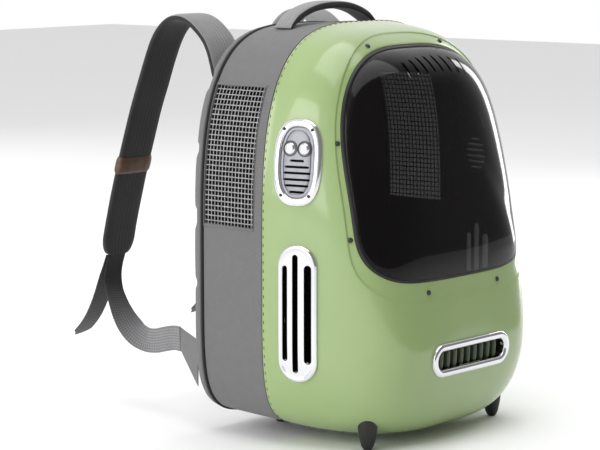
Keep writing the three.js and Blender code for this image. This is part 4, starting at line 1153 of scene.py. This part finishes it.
# The black backing is painted shade for the deep mouth behind the slats.
shade_backing_outline = pill(mouth_width + SHADE_BACKING_MARGIN, mouth_tall + SHADE_BACKING_MARGIN, 60)
shade_backing = laid_ring(grille_place, shade_backing_outline, SHADE_BACKING_PROFILE)
bmesh.ops.remove_doubles(shade_backing, verts=shade_backing.verts, dist=SHADE_BACKING_MERGE)
piece("grille_backing_painted_shade", close_ends(shade_backing), black_rubber)

# %% [markdown]
# ## Gusset
# A cloth wall about 78 mm deep joins the shell to the back. It is one strip of stiffened weave sewn round
# the outline, with a window for the net in each side. The columns of the sheet are set so that the
# window's corners fall on them; a very small waviness keeps the cloth from looking like card.

# %% Gusset wall
GAP = 0.3
GUSSET_FRONT = SEAM_PLANE + GAP
GUSSET_BACK = 33.4
GUSSET_WALL = 2.5
NET_HALF_DEPTH = 32.5
NET_BOTTOM = 209.7
NET_TOP = 344.1
BESIDE = 80
INWARD = -20


def gusset_share(y):
    """0 where the gusset meets the shell and 1 at the back panel."""
    return (y - GUSSET_FRONT) / (GUSSET_BACK - GUSSET_FRONT)


def angle_at_height(height):
    """Ray angle where the right side of the bag's outline has a height."""
    fine = np.linspace(-1.2, 1.2, 4001)
    ring = bag_outline(fine, 0, 0.5, 0)
    return float(np.interp(height, ring[:, 2], fine))


low_angle, high_angle = angle_at_height(NET_BOTTOM), angle_at_height(NET_TOP)
corners = [low_angle, high_angle, math.pi - high_angle, math.pi - low_angle, 2 * math.pi + low_angle]
GUSSET_COUNTS = (28, 110, 28, 150)
stretches = [even_angles(count, a, b)[:-1] for count, a, b in zip(GUSSET_COUNTS, corners, corners[1:])]
gusset_rays = np.concatenate([*stretches, [corners[-1]]])
net_depths = np.linspace(-NET_HALF_DEPTH, NET_HALF_DEPTH, 17)
gusset_depths = np.concatenate([[GUSSET_FRONT, -43, -40, -36], net_depths, [GUSSET_BACK]])
flat_fabric = np.cos(gusset_rays * 9) * 0.25 + np.sin(gusset_rays * 23 + 1) * 0.15


def gusset_ring(y, inwards):
    """Ring of the gusset at a depth, with its slight waviness."""
    share = gusset_share(y)
    swell = flat_fabric * math.sin(math.pi * np.clip(share, 0, 1)) * 1.2
    return bag_outline(gusset_rays, y, share, swell - inwards - 0.3)


gusset_rings = [gusset_ring(y, 0) for y in gusset_depths]
gusset_rings += [gusset_ring(y, GUSSET_WALL) for y in gusset_depths[::-1]]
gusset_rings.append(gusset_rings[0])
gusset_mesh = lay_grid(np.array(gusset_rings), (SEAM_LENGTH * MM, 2 * 0.0777))


def in_net_window(side):
    """A test for points that lie in the net window of one side."""

    def check(middles):
        beside = (np.abs(middles[:, 1]) < NET_HALF_DEPTH) & (middles[:, 0] * side > BESIDE)
        return beside & (middles[:, 2] > NET_BOTTOM) & (middles[:, 2] < NET_TOP)

    return check


for side in (1, -1):
    print("net window faces:", cut_window(gusset_mesh, in_net_window(side)))
gusset = piece("gusset_cloth", gusset_mesh, grey_cloth, ["fabric_gusset"])
# The inward faces take the near-black lining: painted shade for the inside.
gusset.data.materials.append(lining_painted_shade)
middles = to_drawing(np.array([p.center for p in gusset.data.polygons]))
normals = np.array([p.normal for p in gusset.data.polygons])
outward = middles[:, 0] * normals[:, 0] + (middles[:, 2] - HUB_HEIGHT) * normals[:, 2]
gusset.data.polygons.foreach_set("material_index", (outward < INWARD).astype(int))

# %% [markdown]
# ## Net windows
# Each net is a coarse knitted mesh, fifteen holes wide and twenty-eight high in the photograph. A grid
# laid on the outline is turned into threads with the wireframe operator, which leaves real holes. A
# narrow folded welt hides its edge.

# %% Nets
NET_HOLES_ACROSS = 15
NET_HOLES_UP = 28
NET_THREAD = 0.0011


def side_of_bag(y, z, grow):
    """Half width of the bag at points of the side view."""
    share = gusset_share(y)
    half_width = SEAM_HALF_WIDTH - GUSSET_TAPER["sides"] * share + grow
    above = SEAM_TOP - SEAM_WAIST - GUSSET_TAPER["top"] * share + grow
    along = np.abs(z - SEAM_WAIST) / above
    return half_width * (1 - along**SEAM_TOP_POWER) ** (1 / SEAM_TOP_POWER)


y_lines, z_lines = np.meshgrid(
    np.linspace(-NET_HALF_DEPTH - 1, NET_HALF_DEPTH + 0.5, NET_HOLES_ACROSS + 1),
    np.linspace(NET_BOTTOM - 1, NET_TOP + 1, NET_HOLES_UP + 1),
)
net_spots = np.stack([-side_of_bag(y_lines, z_lines, -1.6), y_lines, z_lines], axis=-1)
net_mesh = lay_grid(net_spots, (0.0655, 0.1364))
bmesh.ops.wireframe(
    net_mesh,
    faces=net_mesh.faces,
    thickness=NET_THREAD,
    use_replace=True,
    use_boundary=True,
    use_even_offset=True,
)
net = piece("net_cloth_left", net_mesh, net_thread, ["side_net_left"], sharp=80)
dress(other_side(net, "net_cloth_right"), net_thread, ["side_net_right"], sharp=80)


def frame_round_net(y_half, z_low, z_high, steps=22):
    """Closed path round a net window, in the side view."""
    run = np.linspace(-1, 1, steps + 1)[:-1]
    middle, half = (z_low + z_high) / 2, (z_high - z_low) / 2
    ys = np.concatenate([run * y_half, 0 * run + y_half, -run * y_half, 0 * run - y_half])
    zs = np.concatenate([0 * run - half, run * half, 0 * run + half, -run * half]) + middle
    return np.append(ys, ys[0]), np.append(zs, zs[0])


def welt(grow_out, wide, raise_by):
    """A flat rounded hem round the net window."""
    rings = []
    for turn in np.linspace(0, 2 * math.pi, 11):
        offset = grow_out + wide * math.cos(turn)
        ys, zs = frame_round_net(NET_HALF_DEPTH + offset * 0.4, NET_BOTTOM - offset, NET_TOP + offset)
        rings.append(np.stack([-side_of_bag(ys, zs, raise_by * math.sin(turn)), ys, zs], axis=-1))
    rings[-1] = rings[0]
    return lay_grid(np.array(rings), (0.4, 0.01))


net_welt = piece("net_welt_left", welt(1.0, 1.1, 0.7), grey_cloth, sharp=60)
dress(other_side(net_welt, "net_welt_right"), grey_cloth, sharp=60)

# %% [markdown]
# ## Seam, stitches and piping
# Where the cloth is sewn to the shell there is a thin dark line and a row of stitches; where it meets the
# back panel a black cord is sewn in. The cords are round sections carried along the outline. Each stitch
# is a small stretched ball, laid at even steps along the seam.

# %% Cords round the bag
def cord_round_bag(depth, share, radius_out, radius_deep, grow, rows=12):
    """A cord with an oval section, carried round the bag at a depth."""
    rings = []
    for turn in np.linspace(0, 2 * math.pi, rows + 1):
        out, deep = radius_out * math.cos(turn), radius_deep * math.sin(turn)
        rings.append(bag_outline(rays, depth + deep, share, grow + out))
    rings[-1] = rings[0]
    return lay_grid(np.array(rings), (SEAM_LENGTH * MM, 0.012))


piece("piping_cord", cord_round_bag(35.6, 1, 1.9, 2.1, -0.9), piping_cloth, ["piping"], sharp=80)
piece("seam_line", cord_round_bag(SEAM_PLANE + 0.2, 0, 0.8, 0.55, -0.5, 8), seam_thread, sharp=80)


def stitches(path, outs, length, thick, height):
    """Small stretched balls along a path, laid flat against the surface under it."""
    balls = []
    for i in range(len(path) - 1):
        run = unit_vector(path[i + 1] - path[i])
        out = unit_vector(outs[i] - run * (outs[i] @ run))
        side = np.cross(run, out)
        middle = (path[i] + path[i + 1]) / 2
        turn = np.column_stack([run * length / 2, side * thick / 2, out * height])
        placing = np.eye(4)
        placing[:3, :3] = turn * MM
        placing[:3, 3] = to_metres(middle)
        balls.append(Matrix(placing.tolist()))
    mesh = bmesh.new()
    mesh.loops.layers.uv.new("UVMap")
    for matrix in balls:
        bmesh.ops.create_uvsphere(mesh, u_segments=6, v_segments=4, radius=1, matrix=matrix)
    bmesh.ops.recalc_face_normals(mesh, faces=mesh.faces)
    return mesh


STITCH_PITCH = 8.2
STITCH_LIFT = math.radians(0.5)
stitch_rays = even_angles(int(SEAM_LENGTH / STITCH_PITCH))
stitch_path = shell_ray(stitch_rays, 0 * stitch_rays + STITCH_LIFT, 0.0)
stitch_outs = np.stack([np.cos(stitch_rays), 0 * stitch_rays, np.sin(stitch_rays)], axis=-1)
piece("seam_stitches", stitches(stitch_path, stitch_outs, 4.0, 0.8, 0.45), seam_thread, sharp=80)

# %% [markdown]
# ## Padded back panel
# The wearer's side is foam under cloth, sewn down along four grooves into five pads. The sheet runs in
# from the piping to the middle, and its height is a soft rise that falls away at the edge and in each
# groove, so the pads read as stuffed and the notches show in the side outline.

# %% Back panel
PANEL_FRONT = 37.8
PANEL_BACK = 45
PAD_RISE = 2.5
PAD_CROWN = 2.6
PANEL_LIP = 2.4
PANEL_EDGE = 0.036
FACING_IN = -0.8
GROOVES = [
    {"bottom": 146, "top": 154},
    {"bottom": 206, "top": 225},
    {"bottom": 276, "top": 287},
    {"bottom": 338, "top": 354},
]


def soft_step(value, low, high):
    """Rises smoothly from 0 to 1 between two values."""
    t = np.clip((value - low) / (high - low), 0, 1)
    return t * t * (3 - 2 * t)


def pad_height(z):
    """1 on a pad and 0 in a groove, with soft shoulders."""
    height = np.ones_like(z)
    for groove in GROOVES:
        inside = soft_step(z, groove["bottom"] - 2, groove["bottom"] + 2.5)
        inside = inside * (1 - soft_step(z, groove["top"] - 2.5, groove["top"] + 2))
        height = height * (1 - inside)
    return height


def pad_crown(z):
    """How full a pad is at a height: 1 in its middle and 0 at its grooves."""
    levels = [SEAM_BOTTOM] + [g[k] for g in GROOVES for k in ("bottom", "top")] + [SEAM_TOP]
    crown = np.zeros_like(z)
    for low, high in zip(levels[::2], levels[1::2]):
        t = np.clip((z - low) / (high - low), 0, 1)
        crown = crown + np.where((z > low) & (z < high), np.sqrt(np.maximum(4 * t * (1 - t), 0)), 0)
    return crown


def panel_ring(share, depth, grow=0.0):
    """The bag's outline at the back panel, drawn in towards its hub."""
    ring = bag_outline(rays, depth, 1, grow)
    ring[:, 0] *= share
    ring[:, 2] = HUB_HEIGHT + (ring[:, 2] - HUB_HEIGHT) * share
    return ring


PANEL_SHARES = (0.0, 0.12, 0.24, 0.36, 0.48, 0.58, 0.68, 0.76, 0.83, 0.88, 0.92, 0.95, 0.97)
panel_rings = [panel_ring(share, PANEL_FRONT) for share in PANEL_SHARES]
panel_rings += [panel_ring(1, PANEL_FRONT, -0.3), panel_ring(1, PANEL_FRONT + 0.8, 0.2)]
fine_shares = np.concatenate([[1.0, 0.994, 0.986, 0.976, 0.964], np.linspace(0.95, 0, 58)])
for share in fine_shares:
    ring = panel_ring(share, 0)
    rim = np.clip((1 - share) / PANEL_EDGE, 0, 1)
    edge = math.sqrt(max(1 - (1 - rim) ** 2, 0))
    quilt = pad_height(ring[:, 2])
    full = pad_crown(ring[:, 2]) * math.sqrt(max(1 - share**4, 0))
    ring[:, 1] = PANEL_FRONT + PANEL_LIP + (PANEL_BACK - PANEL_FRONT - PANEL_LIP + PAD_RISE * quilt) * edge
    ring[:, 1] += PAD_CROWN * full * quilt
    panel_rings.append(ring)
panel_mesh = lay_grid(np.array(panel_rings), (SEAM_LENGTH * MM, 0.4))
back_panel = piece("padded_back", panel_mesh, grey_cloth, ["back_panel"])
# The faces towards the cabin take the near-black lining: painted shade for the inside.
back_panel.data.materials.append(lining_painted_shade)
facing = np.array([p.normal.y for p in back_panel.data.polygons])
back_panel.data.polygons.foreach_set("material_index", (facing < FACING_IN).astype(int))

# %% [markdown]
# ## Swept straps
# Handle, straps and webbing are bands carried along a smooth path. The path is a curve through a few
# points, walked at even steps. At each step a section is drawn across it; the section decides what the
# band is: thick and rounded for foam, thin and square for webbing.

# %% Paths and sweeps
def smooth_path(points, per_span=40):
    """Dense points along a smooth curve through some points."""
    points = np.array(points, float)
    ends = np.vstack([2 * points[0] - points[1], points, 2 * points[-1] - points[-2]])
    path = []
    for i in range(len(points) - 1):
        p0, p1, p2, p3 = ends[i : i + 4]
        d0, d1, d2 = (math.sqrt(np.linalg.norm(b - a)) for a, b in ((p0, p1), (p1, p2), (p2, p3)))
        m1 = ((p1 - p0) / d0 - (p2 - p0) / (d0 + d1) + (p2 - p1) / d1) * d1
        m2 = ((p2 - p1) / d1 - (p3 - p1) / (d1 + d2) + (p3 - p2) / d2) * d1
        t = np.linspace(0, 1, per_span, endpoint=False)[:, None]
        path.append(p1 + m1 * t + (3 * (p2 - p1) - 2 * m1 - m2) * t**2 + (2 * (p1 - p2) + m1 + m2) * t**3)
    return np.vstack([*path, points[-1:]])


def walk(path, shares, values=None):
    """Points, and values that go with them, at shares of a path's length."""
    walked = np.concatenate([[0], np.cumsum(np.linalg.norm(np.diff(path, axis=0), axis=1))])
    at = np.asarray(shares) * walked[-1]
    spots = np.stack([np.interp(at, walked, path[:, k]) for k in range(3)], axis=-1)
    if values is None:
        return spots, float(walked[-1])
    return spots, float(walked[-1]), np.interp(at, walked, values)


def sweep(spots, across, halves, thicks, section):
    """Rings of a section carried along points, square to the path."""
    after = np.vstack([spots[1:], spots[-1:]])
    before = np.vstack([spots[:1], spots[:-1]])
    along = after - before
    along /= np.linalg.norm(along, axis=1)[:, None]
    across = np.broadcast_to(across, spots.shape)
    level = across - along * (across * along).sum(axis=1)[:, None]
    level /= np.linalg.norm(level, axis=1)[:, None]
    out = np.cross(along, level)
    rings = []
    for i in range(len(spots)):
        a, b = section[:, 0] * halves[i], section[:, 1] * thicks[i]
        rings.append(spots[i] + a[:, None] * level[i] + b[:, None] * out[i])
    return np.array(rings)


def padded_section(steps=40, dip=0.07):
    """Rounded band with a sewn dip near each edge."""
    turn = np.linspace(0, 2 * math.pi, steps + 1)
    a = np.sign(np.cos(turn)) * np.abs(np.cos(turn)) ** 0.45
    b = np.sign(np.sin(turn)) * np.abs(np.sin(turn)) ** 0.55
    b = b * (1 - dip * np.exp(-(((np.abs(a) - 0.84) / 0.05) ** 2)))
    a[-1], b[-1] = a[0], b[0]
    return np.stack([a, b], axis=-1)


def flat_section():
    """A flat band with slightly rounded edges."""
    lower = [(-1, -0.6), (-0.97, -1), (0, -1), (0.97, -1), (1, -0.6)]
    upper = [(-a, -b) for a, b in lower]
    return np.array([*lower, *upper, lower[0]])


def face_part(obj, finish, low, high):
    """Gives another finish to the part of a band between two widths of its flat map."""
    obj.data.materials.append(finish)
    flat = obj.data.uv_layers[0].data
    for face in obj.data.polygons:
        middle = sum(flat[i].uv.x for i in face.loop_indices) / face.loop_total
        face.material_index = int(low < middle < high)


print("section corners:", len(padded_section()))

# %% [markdown]
# ## Top handle
# The grab handle is a short padded strap that stands in a low arch over the gusset. Its ends are sewn
# flat to the cloth, so it gets thinner there.

# %% Handle
HANDLE_HALF_SPAN = 68
HANDLE_GIRTH = 0.06
HANDLE_TOP = 422.5
HANDLE_WIDTH = 22
HANDLE_THICK = 8
HANDLE_END_THICK = 3
HANDLE_SEAT = 1.2
HANDLE_STEPS = 64


def bag_top_at(x):
    """Height of the top of the bag, halfway along the gusset."""
    share = gusset_share(0)
    half_width = SEAM_HALF_WIDTH - GUSSET_TAPER["sides"] * share
    above = SEAM_TOP - SEAM_WAIST - GUSSET_TAPER["top"] * share
    return SEAM_WAIST + above * (1 - (abs(x) / half_width) ** SEAM_TOP_POWER) ** (1 / SEAM_TOP_POWER)


handle_shares = -np.cos(np.linspace(0, math.pi, HANDLE_STEPS + 1))
rise = (1 - np.abs(handle_shares) ** 2.3) ** 0.8
handle_low, handle_high = bag_top_at(HANDLE_HALF_SPAN) + HANDLE_SEAT, HANDLE_TOP - HANDLE_THICK / 2
handle_heights = handle_low + (handle_high - handle_low) * rise
handle_spots = np.stack([handle_shares * HANDLE_HALF_SPAN, 0 * rise, handle_heights], axis=-1)
handle_thicks = (HANDLE_END_THICK + (HANDLE_THICK - HANDLE_END_THICK) * np.minimum(1, rise * 2.2)) / 2
handle_halves = np.full(HANDLE_STEPS + 1, HANDLE_WIDTH / 2)
handle_rings = sweep(handle_spots, np.array([0.0, 1.0, 0.0]), handle_halves, handle_thicks, padded_section())
handle_mesh = close_ends(lay_grid(handle_rings, (HANDLE_GIRTH, 0.16)))
handle = piece("grab_handle", handle_mesh, strap_cloth, ["top_handle"], sharp=60)
face_part(handle, spacer_cloth, 0.41 * HANDLE_GIRTH, 0.59 * HANDLE_GIRTH)

# %% [markdown]
# ## Shoulder straps
# Each strap leaves the back panel near its top, rises over the wearer's shoulder in an arch and hangs
# down. It is foam between light cloth on the outside and dark spacer mesh on the side that touches the
# wearer, so the band takes two finishes, divided along its edges. A brown leather keeper wraps it low
# down.

# %% Straps
STRAP_OFFSET = 91
STRAP_WIDTH = 45
STRAP_THICKNESS = 7.5
STRAP_ROUTE = [
    {"depth": 44, "height": 340},
    {"depth": 51.5, "height": 350},
    {"depth": 55, "height": 361},
    {"depth": 59, "height": 373},
    {"depth": 65, "height": 384},
    {"depth": 74, "height": 393.5},
    {"depth": 85, "height": 401.5},
    {"depth": 96, "height": 405.8},
    {"depth": 107, "height": 406},
    {"depth": 116, "height": 402.5},
    {"depth": 123.5, "height": 396.5},
    {"depth": 130, "height": 389},
    {"depth": 136, "height": 379},
    {"depth": 144, "height": 361},
    {"depth": 153, "height": 338},
    {"depth": 163.5, "height": 311},
    {"depth": 173.5, "height": 281},
    {"depth": 181.5, "height": 256},
    {"depth": 188.5, "height": 233},
    {"depth": 196, "height": 206},
    {"depth": 202.5, "height": 180},
    {"depth": 206.5, "height": 158},
]
STRAP_END_ROUND = 20
STRAP_WAVE = 0.04
STRAP_GIRTH = 0.105
strap_path = smooth_path([(-STRAP_OFFSET, row["depth"], row["height"]) for row in STRAP_ROUTE])
strap_shares = np.concatenate([np.linspace(0.0, 0.93, 130, endpoint=False), np.linspace(0.93, 1, 26)])
strap_spots, strap_length = walk(strap_path, strap_shares)
left_over = strap_length * (1 - strap_shares)
strap_round = np.sqrt(np.maximum(1 - (1 - np.minimum(left_over / STRAP_END_ROUND, 1)) ** 2, 0))
strap_halves = STRAP_WIDTH / 2 * (0.5 + 0.5 * strap_round)
strap_thicks = STRAP_THICKNESS / 2 * (1 + STRAP_WAVE * np.sin(strap_shares * 40))
strap_rings = sweep(strap_spots, np.array([1.0, 0.0, 0.0]), strap_halves, strap_thicks, padded_section())
strap_mesh = close_ends(lay_grid(strap_rings, (STRAP_GIRTH, strap_length * MM)))
strap_left = piece("strap_left", strap_mesh, strap_cloth, ["shoulder_strap_left"], sharp=60)
face_part(strap_left, spacer_cloth, -1, 0.56 * STRAP_GIRTH)
strap_right = dress(other_side(strap_left, "strap_right"), strap_cloth, ["shoulder_strap_right"], sharp=60)
strap_right.data.materials.append(spacer_cloth)

# %% [markdown]
# ## Leather keepers
# A keeper is a loop of leather pulled tight round the strap. It follows the same path for a short way, a
# little wider and thicker than the strap, and its ends are drawn in like a rolled edge.

# %% Leather keepers
KEEPER = {"top": 262, "bottom": 245}
keeper_shares = np.linspace(0, 1, 4001)
keeper_heights = walk(strap_path, keeper_shares)[0][:, 2]
falling = keeper_shares > 0.45
keeper_from, keeper_to = (
    keeper_shares[falling][np.argmin(np.abs(keeper_heights[falling] - KEEPER[end]))] for end in KEEPER
)
keeper_run = np.linspace(keeper_from, keeper_to, 9)
keeper_spots, _ = walk(strap_path, keeper_run)
bulge = np.array([0.35, 1.3, 1.7, 1.8, 1.8, 1.8, 1.7, 1.3, 0.35])
keeper_rings = sweep(
    keeper_spots,
    np.array([1.0, 0.0, 0.0]),
    STRAP_WIDTH / 2 + bulge * 0.9,
    STRAP_THICKNESS / 2 + bulge,
    padded_section(40, 0.0),
)
keeper_mesh = close_ends(lay_grid(keeper_rings, (STRAP_GIRTH, 0.018)))
keeper = piece("leather_keeper_left", keeper_mesh, tan_leather, ["strap_band_left"])
dress(other_side(keeper, "leather_keeper_right"), tan_leather, ["strap_band_right"])

# %% [markdown]
# ## Webbing and tails
# From the end of each strap one length of flat webbing runs forward and down, turning a quarter as it
# goes, to a sewn tab low on the back. The other end of the same webbing hangs free as a pointed tail.
# These are thin bands of ribbed weave, so they are swept directly.

# %% Webbing
WEBBING_ROUTE = [
    {"side": 92, "depth": 205.6, "height": 157.4, "twist": 0},
    {"side": 92, "depth": 209.5, "height": 146, "twist": 0},
    {"side": 93, "depth": 210.5, "height": 134, "twist": 0},
    {"side": 95, "depth": 206.8, "height": 121, "twist": 0},
    {"side": 98, "depth": 197.5, "height": 107.5, "twist": 0.1},
    {"side": 102, "depth": 185.3, "height": 94.7, "twist": 0.3},
    {"side": 105, "depth": 174, "height": 86, "twist": 0.5},
    {"side": 108, "depth": 161.5, "height": 79.6, "twist": 0.72},
    {"side": 111, "depth": 146, "height": 76.6, "twist": 0.88},
    {"side": 115, "depth": 130, "height": 78, "twist": 0.96},
    {"side": 119, "depth": 114, "height": 82, "twist": 1},
    {"side": 123, "depth": 98, "height": 85.6, "twist": 1},
    {"side": 127.6, "depth": 85, "height": 86.6, "twist": 1},
]
TAIL_ROUTE = [
    {"depth": 208.7, "height": 157.4},
    {"depth": 213.5, "height": 146},
    {"depth": 219, "height": 134},
    {"depth": 225.5, "height": 118},
    {"depth": 232.5, "height": 103},
    {"depth": 241.5, "height": 88.4},
    {"depth": 252, "height": 76.6},
    {"depth": 260.5, "height": 69.6},
    {"depth": 266.5, "height": 66.6},
]
WEBBING_HALF = 12.5
WEBBING_THICK = 0.8
WEBBING_GIRTH = 0.053
WEBBING_STEPS = 73
TIP_SHARE = 0.12
TAIL_POINT = 12


def webbing_band(name, route, twists, point_length, coat, node_name):
    """A flat band of webbing along a route, on both sides of the bag."""
    path = smooth_path(route)
    twist_along = np.interp(np.linspace(0, len(route) - 1, len(path)), range(len(route)), twists)
    shares = np.linspace(0, 1, WEBBING_STEPS)
    spots, length, twist = walk(path, shares, twist_along)
    turn = twist * math.pi / 2
    across = np.stack([np.cos(turn), 0 * turn, np.sin(turn)], axis=-1)
    left = length * (1 - shares)
    taper = np.clip(left / point_length, TIP_SHARE, 1) if point_length else np.ones(WEBBING_STEPS)
    thicks = np.full(WEBBING_STEPS, WEBBING_THICK)
    rings = sweep(spots, across, WEBBING_HALF * taper, thicks, flat_section())
    mesh = close_ends(lay_grid(rings, (WEBBING_GIRTH, length * MM)))
    band = piece(f"{name}_left", mesh, coat, [f"{node_name}_left"])
    dress(other_side(band, f"{name}_right"), coat, [f"{node_name}_right"])
    print(name, "length in mm:", round(length))


webbing_band(
    "webbing_run",
    [(-row["side"], row["depth"], row["height"]) for row in WEBBING_ROUTE],
    [row["twist"] for row in WEBBING_ROUTE],
    0,
    webbing_weave,
    "webbing",
)
tail_points = [(-WEBBING_ROUTE[0]["side"], row["depth"], row["height"]) for row in TAIL_ROUTE]
webbing_band("webbing_end", tail_points, [0] * len(TAIL_ROUTE), TAIL_POINT, tail_weave, "webbing_tail")

# %% [markdown]
# ## Lower tabs
# The webbing ends in a folded triangle of the bag's own cloth, sewn low on the back. Its root and its free
# edge are given, and the cloth between them is drawn as straight lines with a rounded edge.

# %% Lower tabs
TAB_THICK = 1.2
TAB_ASIDE, TAB_BACK = 0.92, 0.38
TAB_ROOT = {"side": 143, "depth": 47.8, "bottom": 45, "top": 92}
TAB_EDGE = {"side": 128, "depth": 84.2, "bottom": 75, "top": 98.5}


def tab_spot(reach, rise, off):
    """A point of the sewn tab: how far along it reaches, how high up it is, and how far off its middle."""
    side = TAB_ROOT["side"] + (TAB_EDGE["side"] - TAB_ROOT["side"]) * reach
    depth = TAB_ROOT["depth"] + (TAB_EDGE["depth"] - TAB_ROOT["depth"]) * reach
    bottom = TAB_ROOT["bottom"] + (TAB_EDGE["bottom"] - TAB_ROOT["bottom"]) * reach
    top = TAB_ROOT["top"] + (TAB_EDGE["top"] - TAB_ROOT["top"]) * reach
    height = bottom + (top - bottom) * rise
    return np.stack([-side - off * TAB_ASIDE, depth - off * TAB_BACK, height], axis=-1)


tab_rings = []
for turn in np.linspace(0, 2 * math.pi, 33):
    rise = 0.5 + 0.5 * np.sign(math.cos(turn)) * abs(math.cos(turn)) ** 0.4
    off = TAB_THICK * np.sign(math.sin(turn)) * abs(math.sin(turn)) ** 0.5
    reach = np.linspace(0, 1, 17)
    tab_rings.append(tab_spot(reach, np.full(17, rise), np.full(17, off)))
tab_rings[-1] = tab_rings[0]
tab_mesh = close_ends(lay_grid(np.array(tab_rings), (0.04, 0.1)))
tab = piece("sewn_tab_left", tab_mesh, grey_cloth, ["lower_tab_left"])
dress(other_side(tab, "sewn_tab_right"), grey_cloth, ["lower_tab_right"])

# %% [markdown]
# ## Feet
# Two tapered rubber feet stand under the front of the shell, and two short studs under the back keep the
# bag level. They are spun from profiles with rounded tips.

# %% Feet
FOOT_PROFILE = [
    (0, 0), (2.6, 0), (4.0, 0.7), (5.0, 2.2), (6.4, 5), (7.8, 11), (8.8, 17),
    (9.6, 24), (9.9, 30), (9.9, 36), (0, 36),
]
STUD_PROFILE = [(0, 0), (6.6, 0), (7.6, 0.6), (8, 1.8), (8, 15), (0, 15)]
upright = {"aside": np.array([1.0, 0, 0]), "up": np.array([0, 1.0, 0]), "out": np.array([0, 0, 1.0])}
for name, node_name, at, profile in (
    ("front_peg", "front_foot", (-103.5, -133.4, 0), FOOT_PROFILE),
    ("back_stud", "rear_stud", (-50, 15, 0), STUD_PROFILE),
):
    foot_mesh = turned({**upright, "at": np.array(at, float)}, profile)
    foot = piece(f"{name}_left", foot_mesh, black_rubber, [f"{node_name}_left"])
    dress(other_side(foot, f"{name}_right"), black_rubber, [f"{node_name}_right"])

# %% [markdown]
# ## Check the size
# The dressed object's box is set against the imported model's box, and how far each corner has grown is
# printed; cloth may stand a little proud. The dressed object has to stay inside the imported model's
# box, but for cloth that may stand a little proud.

# %% Sizes and finish
visual_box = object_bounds()
for name, cad_corner, corner in zip(("low", "high"), cad_box, visual_box):
    print(name, "corner grown by:", [round(float(v - c), 4) for c, v in zip(cad_corner, corner)])
